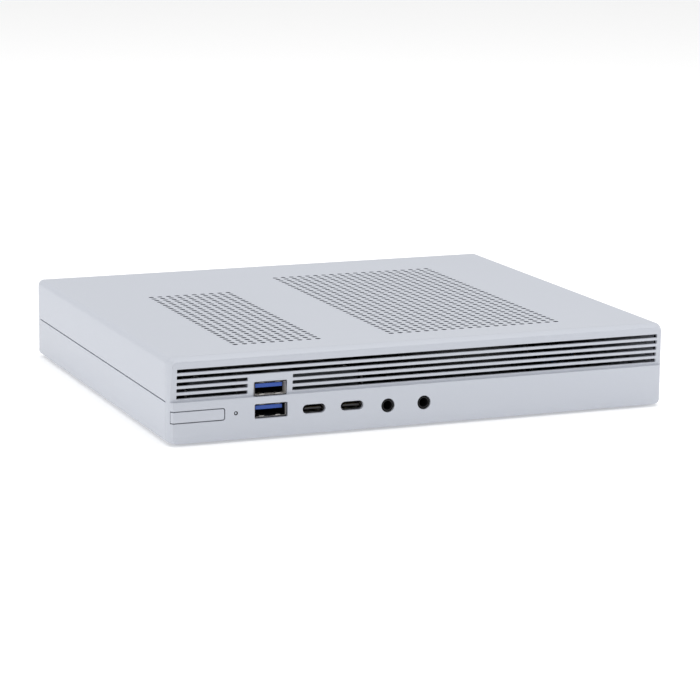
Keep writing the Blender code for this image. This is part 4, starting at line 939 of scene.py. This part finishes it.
def rear_sockets():
    """The other rear sockets, with their insulators, contacts and lamps."""
    for name, (depth, outline) in MOUTHS.items():
        socket = Limits(name)
        case = shape(add_prism, rounded(socket.x0, socket.x1, socket.z0, socket.z1, 0.5, steps=3), "Y",
                     socket.y0, socket.y1)
        mouth = shape(add_prism, [(socket.x + u, socket.z + v) for u, v in outline], "Y",
                      socket.y1 - depth, socket.y1 + 1.0)
        can = place(f"{name}_can", case, SHELL, name, [("DIFFERENCE", mouth)], bevel=0.12)
        back, edge_x, edge_z = socket.y1 - depth, socket.x1 - socket.x - 0.4, socket.z1 - socket.z - 0.4

        # Faces inside the mouth are painted matte black: painted shade on the metal can's inner walls, and
        # the real black of the insulator at the back.
        def painted_dark(centre, normal):
            near = abs(centre.x - socket.x) < edge_x and abs(centre.z - socket.z) < edge_z
            return near and back - 0.1 < centre.y < back + depth - 0.3
        paint_faces(can, MATT_BLACK, painted_dark)
    insulators, contacts = bmesh.new(), bmesh.new()
    for name in ("hdmi_socket", "displayport_socket"):
        socket = Limits(name)
        middle = socket.z + 0.25
        y0, y1 = socket.y1 - 7.9, socket.y1 - 0.9
        add_box(insulators, span(socket.x, 6.0), (y0, y1), span(middle, 0.65))
        for x in spaced(socket.x - 4.95, 1.1, 10):
            for z in (middle - 0.75, middle + 0.6):
                add_box(contacts, span(x, 0.22), (y0 + 2.0, y1 - 0.4), (z, z + 0.15))
        flange = shape(add_tube, "Y", centred(socket.x, socket.z, 17.4, 6.4, 0.8, 3),
                       centred(socket.x, socket.z, 16.0, 5.0, 0.5, 3), PANEL.y1, PANEL.y1 + 0.25)
        place(f"{name}_collar", flange, SHELL, bevel=0.08)
    lan = Limits("lan_socket")
    add_box(insulators, span(lan.x, 5.4), (lan.y1 - 12.8, lan.y1 - 3.5), (lan.z0 + 3.2, lan.z0 + 4.2))
    for x in spaced(lan.x - 3.57, 1.02, 8):
        add_box(contacts, span(x, 0.2), (lan.y1 - 12.5, lan.y1 - 4.0), (lan.z0 + 4.2, lan.z0 + 4.5))
    place("rear_insulators", insulators, BLACK, bevel=0.12)
    place("rear_contacts", contacts, GOLD)
    for number, (middle, lens) in enumerate(((lan.x - 5.4, GREEN_LENS), (lan.x + 5.4, AMBER_LENS))):
        lamp = boxes((span(middle, 1.4), (lan.y1 - 1.0, lan.y1 + 0.25), (lan.z1 - 3.2, lan.z1 - 1.2)))
        place(f"lan_lamp_{number}", lamp, lens, bevel=0.2)
    power = Limits("dc_power_socket")
    pin = [(1.15, -8.0), (1.15, -1.2), (0.9, -0.8), (0.45, -0.75), (0.4, -3.0)]
    place("power_pin", shape(add_turned, "Y", (power.x, POWER_Z), pin, 32, power.y1), NICKEL)
    earth = boxes(((power.x - 3.05, power.x - 2.75), (power.y1 - 7.5, power.y1 - 1.5),
                   span(POWER_Z, 0.8)))
    place("power_spring", earth, NICKEL, bevel=0.08)


# ---- Inside -------------------------------------------------------------------------------------
def add_wire(bm, points, radius, sides=10):
    """Round wire through the points, with smooth bends."""
    path = []
    steps = 8
    padded = [points[0], *points, points[-1]]
    for a, b, c, d in zip(padded, padded[1:], padded[2:], padded[3:]):
        a, b, c, d = Vector(a), Vector(b), Vector(c), Vector(d)
        for step in range(steps):
            t = step / steps
            path.append(0.5 * (2 * b + (c - a) * t + (2 * a - 5 * b + 4 * c - d) * t * t
                               + (3 * b - a - 3 * c + d) * t ** 3))
    path.append(Vector(points[-1]))
    rings = []
    for number, spot in enumerate(path):
        heading = (path[min(number + 1, len(path) - 1)] - path[max(number - 1, 0)]).normalized()
        side = heading.cross(Vector((0, 0, 1)))
        side = side.normalized() if side.length > 0.05 else Vector((1, 0, 0))
        up = side.cross(heading)
        rings.append([spot + radius * (side * math.cos(a) + up * math.sin(a))
                      for a in (2 * math.pi * k / sides for k in range(sides))])
    add_loft(bm, rings)


def chip(bm, x, y, width, depth, base, height):
    add_box(bm, span(x, width / 2), span(y, depth / 2), (base, base + height))


def leads(bm, x, y, width, depth, base, pitch=0.8):
    """Two rows of gull-wing leads along the long sides of a chip."""
    count = int((depth - 1.0) / pitch)
    for side in (-1, 1):
        for v in spaced_about(y, pitch, count):
            add_box(bm, span(x + side * (width / 2 + 0.35), 0.45), span(v, 0.17), (base, base + 0.2))
            add_box(bm, span(x + side * (width / 2 + 0.05), 0.12), span(v, 0.17), (base, base + 0.7))


def small_parts(areas, top, stream):
    """Capacitors and resistors, two tinned ends and a coloured body each, kept in the given areas."""
    bodies, resistors, ends = bmesh.new(), bmesh.new(), bmesh.new()
    for x_range, y_range, count in areas:
        for _ in range(count):
            x = round(stream.uniform(*x_range) / 1.4) * 1.4
            y = round(stream.uniform(*y_range) / 1.4) * 1.4
            along = stream.random() < 0.5
            size = (1.0, 0.5) if along else (0.5, 1.0)
            target = bodies if stream.random() < 0.6 else resistors
            chip(target, x, y, size[0] * 0.62, size[1] * 0.94 if along else size[1] * 0.62, top, 0.45)
            for side in (-1, 1):
                dx, dy = (side * 0.4, 0) if along else (0, side * 0.4)
                chip(ends, x + dx, y + dy, 0.24 if along else 0.5, 0.5 if along else 0.24, top, 0.47)
    place("board_capacitors", bodies, CERAMIC)
    place("board_resistors", resistors, CHIP)
    place("board_terminals", ends, TIN)


def board_parts():
    top = BOARD.z1
    stream = random.Random(11)
    chips, pins, chokes, cans, sleeves, headers = [bmesh.new() for _ in range(6)]
    for x, y, width, depth in ((-11.5, 21.0, 7.0, 7.0), (-11.0, -20.0, 9.0, 9.0), (10.0, -75.5, 6.0, 5.0),
                               (30.0, -75.0, 5.0, 5.0), (60.0, -74.5, 8.0, 5.0), (-40.0, -72.8, 5.0, 5.0)):
        chip(chips, x, y, width, depth, top + 0.1, 0.9)
        leads(pins, x, y, width, depth, top)
    chip(chips, -11.2, -42.0, 10.0, 14.0, top + 0.1, 1.0)
    for x in spaced(8.0, 8.5, 5):
        chip(chokes, x, 65.3, 6.6, 6.0, top, 3.2)
    x = -11.0
    for y in spaced(32.0, 8.0, 3):
        chip(chokes, x, y, 6.4, 6.4, top, 3.2)
        add_turned(cans, "Z", (x - 6.6, y), [(2.4, 0.7), (2.4, 5.3), (2.2, 5.6), (0.2, 5.6)], 28, top)
        chip(sleeves, x - 6.6, y, 5.2, 5.2, top, 0.7)
    hollows = bmesh.new()
    for x, y, count in ((-10.0, 2.0, 4), (69.0, -66.0, 2), (-12.0, -62.0, 5)):
        add_box(headers, span(x, 2.0), span(y, count), (top, top + 4.2))
        add_box(hollows, (x - 1.4, x + 2.6), (y - count + 0.6, y + count - 0.6), (top + 1.0, top + 5.0))
        for v in spaced_about(y, 1.6, count):
            add_box(pins, span(x, 0.2), span(v, 0.2), (top + 0.9, top + 3.8))
    place("board_chips", chips, CHIP, bevel=0.12)
    place("board_chip_leads", pins, TIN)
    place("board_chokes", chokes, FERRITE, bevel=0.35)
    place("board_capacitor_cans", cans, TIN)
    place("board_capacitor_bases", sleeves, BLACK, bevel=0.3)
    place("board_headers", headers, WHITE, (), [("DIFFERENCE", hollows)], bevel=0.15)
    small_parts([((-17, -5), (-60, -48), 26), ((-17, -5), (-14, -4), 24), ((-17, -5), (6, 16), 22),
                 ((-4, 66), (-81, -70), 120), ((-52, -20), (-76, -68), 60), ((-40, 60), (72, 77), 50),
                 ((67, 70), (-50, 60), 70), ((-95, -89), (-50, 20), 30), ((74, 92), (25, 27), 12)],
                top, stream)


def memory_parts():
    contacts, dies, latches, parts = [bmesh.new() for _ in range(4)]
    for level in ("lower", "upper"):
        module = Limits(f"memory_module_{level}")
        socket = Limits(f"memory_socket_{level}")
        for x in spaced(module.x0 + 7.0, 7.35, 8):
            chip(dies, x, module.y1 - 9.5, 6.2, 9.4, module.z1 - 0.05, 0.75)
        chip(dies, module.x, module.y1 - 19.0, 3.0, 2.4, module.z1 - 0.05, 0.6)
        for x in spaced(module.x0 + 3.2, 0.62, 96):
            if abs(x - module.x - 6.0) > 1.2:
                add_box(contacts, span(x, 0.18), (module.y0 + 0.6, module.y0 + 4.4),
                        (module.z1 - 0.02, module.z1 + 0.04))
        for side in (-1, 1):
            u = module.x + side * ((socket.x1 - socket.x0) / 2 - 1.0)
            add_box(latches, span(u, 0.25), (module.y0 + 3.0, module.y0 + 21.0),
                    (module.z0 - 1.0, module.z1 + 0.5))
            v = module.y0 + 19.5
            add_box(latches, tuple(sorted((u, u - side * 2.6))), span(v, 1.4),
                    (module.z1 + 0.15, module.z1 + 0.55))
        for x in spaced(module.x0 + 4.0, 2.5, 24):
            chip(parts, x, module.y0 + 7.0, 0.5, 1.0, module.z1 - 0.02, 0.45)
    place("memory_dies", dies, CHIP, bevel=0.12)
    place("memory_contacts", contacts, GOLD)
    place("memory_latches", latches, SHELL, bevel=0.1)
    place("memory_small_parts", parts, CERAMIC, bevel=0.06)


def card_parts():
    contacts, dies, parts, rings = [bmesh.new() for _ in range(4)]
    ssd, wifi = Limits("ssd_card"), Limits("wifi_card")
    for y in (ssd.y0 + 50.0, ssd.y0 + 30.0):
        chip(dies, ssd.x, y, 13.5, 15.0, ssd.z1 - 0.05, 1.1)
    chip(dies, ssd.x, ssd.y0 + 13.0, 10.0, 8.5, ssd.z1 - 0.05, 0.9)
    for number in range(10):
        chip(parts, ssd.x0 + 2.0, ssd.y0 + 8.0 + number * 6.2, 0.6, 1.1, ssd.z1 - 0.02, 0.5)
        chip(parts, ssd.x1 - 2.0, ssd.y0 + 10.0 + number * 6.0, 0.6, 1.1, ssd.z1 - 0.02, 0.5)
    for card in (ssd, wifi):
        for x in spaced(card.x0 + 1.6, 0.55, 32):
            add_box(contacts, span(x, 0.16), (card.y0 + 0.5, card.y0 + 4.6),
                    (card.z1 - 0.02, card.z1 + 0.04))
    shield = shape(add_prism, centred(wifi.x, wifi.y + 0.8, 17.0, 17.0, 0.8, 3), "Z", wifi.z1 - 0.05,
                   wifi.z1 + 1.4)
    place("wifi_shield", shield, NICKEL, bevel=0.25)
    wires = bmesh.new()
    for number, x in enumerate(span(wifi.x, 7.0)):
        y = wifi.y1 - 3.2
        add_turned(rings, "Z", (x, y), [(1.1, -0.05), (1.1, 1.0), (0.8, 1.3), (0.2, 1.3)], 20, wifi.z1)
        end, level = ANTENNA_X - number * 1.6, 9.0 + number * 1.6
        add_wire(wires, [(x, y, wifi.z1 + 1.1), (x + 1.5, y + 3.0, wifi.z1 + 1.3),
                         (end - 2.0, y + 6.0, wifi.z1 + 1.0), (end, y - 8.0, level), (end, 0.0, level),
                         (end, -50.0, level)], 0.6)
    place("antenna_plugs", rings, GOLD)
    place("antenna_wires", wires, CABLE_BLACK)
    place("card_dies", dies, CHIP, bevel=0.12)
    place("card_contacts", contacts, GOLD)
    place("card_small_parts", parts, CERAMIC, bevel=0.06)


FAN_PLUG_X = 68.4
ANTENNA_X = 96.0            # the antenna wires run forward beside the right wall


def cables():
    """Fan lead, and the drive's data and power lead."""
    fan = Limits("blower_housing")
    for number, sheath in enumerate((CABLE_BLACK, CABLE_RED)):
        wire = bmesh.new()
        shift = number * 1.3
        plug_x = FAN_PLUG_X + shift
        add_wire(wire, [(fan.x1 - 8.0 + shift, fan.y0 + 3.0, 11.0),
                        (fan.x1 - 3.0 + shift, fan.y0 + 1.0, 10.0),
                        (plug_x, -62.5, 11.4), (plug_x, -65.5, 9.0)], 0.5)
        place(f"fan_wire_{number}", wire, sheath)
    drive = Limits("storage_drive")
    ribbon = bmesh.new()
    for x in spaced(-30.0, -1.05, 8):
        add_wire(ribbon, [(x, drive.y1 - 1.0, 15.5), (x, drive.y1 + 0.4, 15.4),
                          (x + 0.2, drive.y1 + 0.9, 13.0), (x + 0.2, drive.y1 + 0.8, 9.0)], 0.5, 8)
    place("drive_lead", ribbon, CABLE_BLACK)


def drive_parts():
    drive = Limits("storage_drive")
    label = shape(add_prism, centred(drive.x, drive.y + 4.0, 56.0, 68.0, 2.0, 4),
                  "Z", drive.z1 - 0.02, drive.z1 + 0.06)
    place("drive_blank_label", label, WHITE)
    rim = shape(add_tube, "Z", centred(drive.x, drive.y, 67.0, 96.0, 2.5, 4),
                centred(drive.x, drive.y, 66.0, 95.0, 2.0, 4), drive.z1 - 0.05, drive.z1 + 0.22)
    place("drive_lid_rim", rim, DRIVE_METAL, bevel=0.08)
    screws = bmesh.new()
    head = [(1.5, -0.3), (1.5, 0.3), (1.2, 0.5), (0.7, 0.5), (0.6, 0.1)]
    for x in (drive.x0 + 4.5, drive.x1 - 4.5):
        for y in (drive.y0 + 5.0, drive.y1 - 5.0):
            add_turned(screws, "Z", (x, y), head, 24, drive.z1)
    place("drive_screws", screws, SCREW)


def blower_parts():
    """The heat sink's pipes, and the cap and blank label on the fan's hub."""
    sink = Limits("heatsink")
    pipes = bmesh.new()
    for shift in (-9.0, 0.0, 9.0):
        x = sink.x + shift
        add_wire(pipes, [(x, sink.y0 + 6.0, sink.z0 + 1.1), (x, sink.y, sink.z0 + 1.1),
                         (x, sink.y1 - 3.0, sink.z0 + 1.1)], 0.9, 16)
    place("heatsink_pipes", pipes, COPPER)
    fan = Limits("fan_impeller")
    hub = (fan.x, fan.y)
    cap = [(11.9, -0.2), (11.4, 0.25), (2.0, 0.25), (1.8, -0.05), (0.1, -0.05)]
    place("fan_cap", shape(add_turned, "Z", hub, cap, 56, fan.z1), FAN_PLASTIC, body="fan")
    ring = [(6.0, 0.2), (6.0, 0.3), (2.4, 0.3), (2.4, 0.2)]
    place("fan_blank_label", shape(add_turned, "Z", hub, ring, 40, fan.z1), STEEL, body="fan")


def dressed_nodes():
    """The CAD nodes that keep their shape."""
    looks = (
        (BLACK, 0.15, "dc_power_socket", "power_switch", "cpu_socket", "memory_socket_lower",
         "memory_socket_upper", "ssd_socket", "wifi_socket", "coin_cell_holder"),
        (FAN_PLASTIC, 0.25, "blower_housing"),
        (FAN_PLASTIC, 0.0, "fan_impeller"),
        (RED, 0.15, "power_switch_plunger"),
        (BOARD_GREEN, 0.08, "motherboard"),
        (MODULE_GREEN, 0.05, "memory_module_lower", "memory_module_upper"),
        (CARD_BLUE, 0.05, "ssd_card", "wifi_card"),
        (ALUMINIUM, 0.08, "heatsink"),
        (NICKEL, 0.15, "cpu", "coin_cell"),
        (STEEL, 0.1, "drive_tray"),
        (DRIVE_METAL, 0.4, "storage_drive"),
    )
    for material, bevel, *nodes in looks:
        for node in nodes:
            dress(node, material, bevel)
    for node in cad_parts:
        if "screw" in node and not node.startswith("thumbscrew"):
            dress(node, SCREW, 0.08)


# ---- Stage --------------------------------------------------------------------------------------
def softbox(name, place_at, size, power):
    light = bpy.data.lights.new(name, "AREA")
    light.shape = "RECTANGLE"
    light.size, light.size_y = size
    light.energy = power
    lamp = bpy.data.objects.new(name, light)
    lamp.location = place_at
    lamp.rotation_euler = (-Vector(place_at)).to_track_quat("-Z", "Y").to_euler()
    bpy.context.scene.collection.objects.link(lamp)


def stage():
    floor = new_object("floor", shape(add_box, (-20000, 20000), (-20000, 20000), (-20, -0.05)))
    white = (1.0, 1.0, 1.0, 1.0)
    floor.data.materials.append(surface("floor_white", (0.86, 0.86, 0.86), 0.9, tint=0.002,
                                        Emission_Color=white, Emission_Strength=0.26))
    world = bpy.data.worlds.new("studio")
    bpy.context.scene.world = world
    world.use_nodes = True
    tree = world.node_tree
    seen = add_node(tree, "LightPath", {}).outputs["Is Camera Ray"]
    strength = add_node(tree, "MapRange", {"To Min": 0.70, "To Max": 1.0, "Value": seen})
    background = tree.nodes["Background"].inputs
    background["Color"].default_value = white
    feed(tree, background["Strength"], strength.outputs["Result"])
    softbox("top_softbox", (0.1, 0.0, 1.3), (1.4, 1.4), 9.2)
    softbox("left_softbox", (-1.4, 0.3, 0.4), (1.2, 1.0), 4.6)
    softbox("right_softbox", (0.58, -0.46, 0.2), (0.4, 0.4), 0.8)


def camera():
    """Long lens, in front and to the left of the case, looking slightly down."""
    yaw, pitch, roll = math.radians(-22.265), math.radians(11.697), math.radians(0.554)
    distance = 1.1047
    target = Vector((0.00489, 0.0, 0.01216))
    data = bpy.data.cameras.new("camera")
    data.sensor_width = 36.0
    data.lens = 138.22
    data.clip_start, data.clip_end = 0.05, 50.0
    cam = bpy.data.objects.new("camera", data)
    back = Vector((math.sin(yaw) * math.cos(pitch), -math.cos(yaw) * math.cos(pitch), math.sin(pitch)))
    cam.location = target + back * distance
    look = (-back).to_track_quat("-Z", "Y").to_matrix()
    cam.rotation_euler = (look @ Matrix.Rotation(roll, 3, "Z")).to_euler()
    bpy.context.scene.collection.objects.link(cam)
    bpy.context.scene.camera = cam
    bpy.context.scene.view_settings.view_transform = "Standard"


front_bezel()
power_key()
status_light()
front_usb()
front_usb_c()
audio_jacks()
top_cover()
lower_case()
rating_label()
feet()
thumbscrews()
rear_panel()
rear_usb()
rear_sockets()
board_parts()
memory_parts()
card_parts()
cables()
drive_parts()
blower_parts()
dressed_nodes()
stage()
camera()
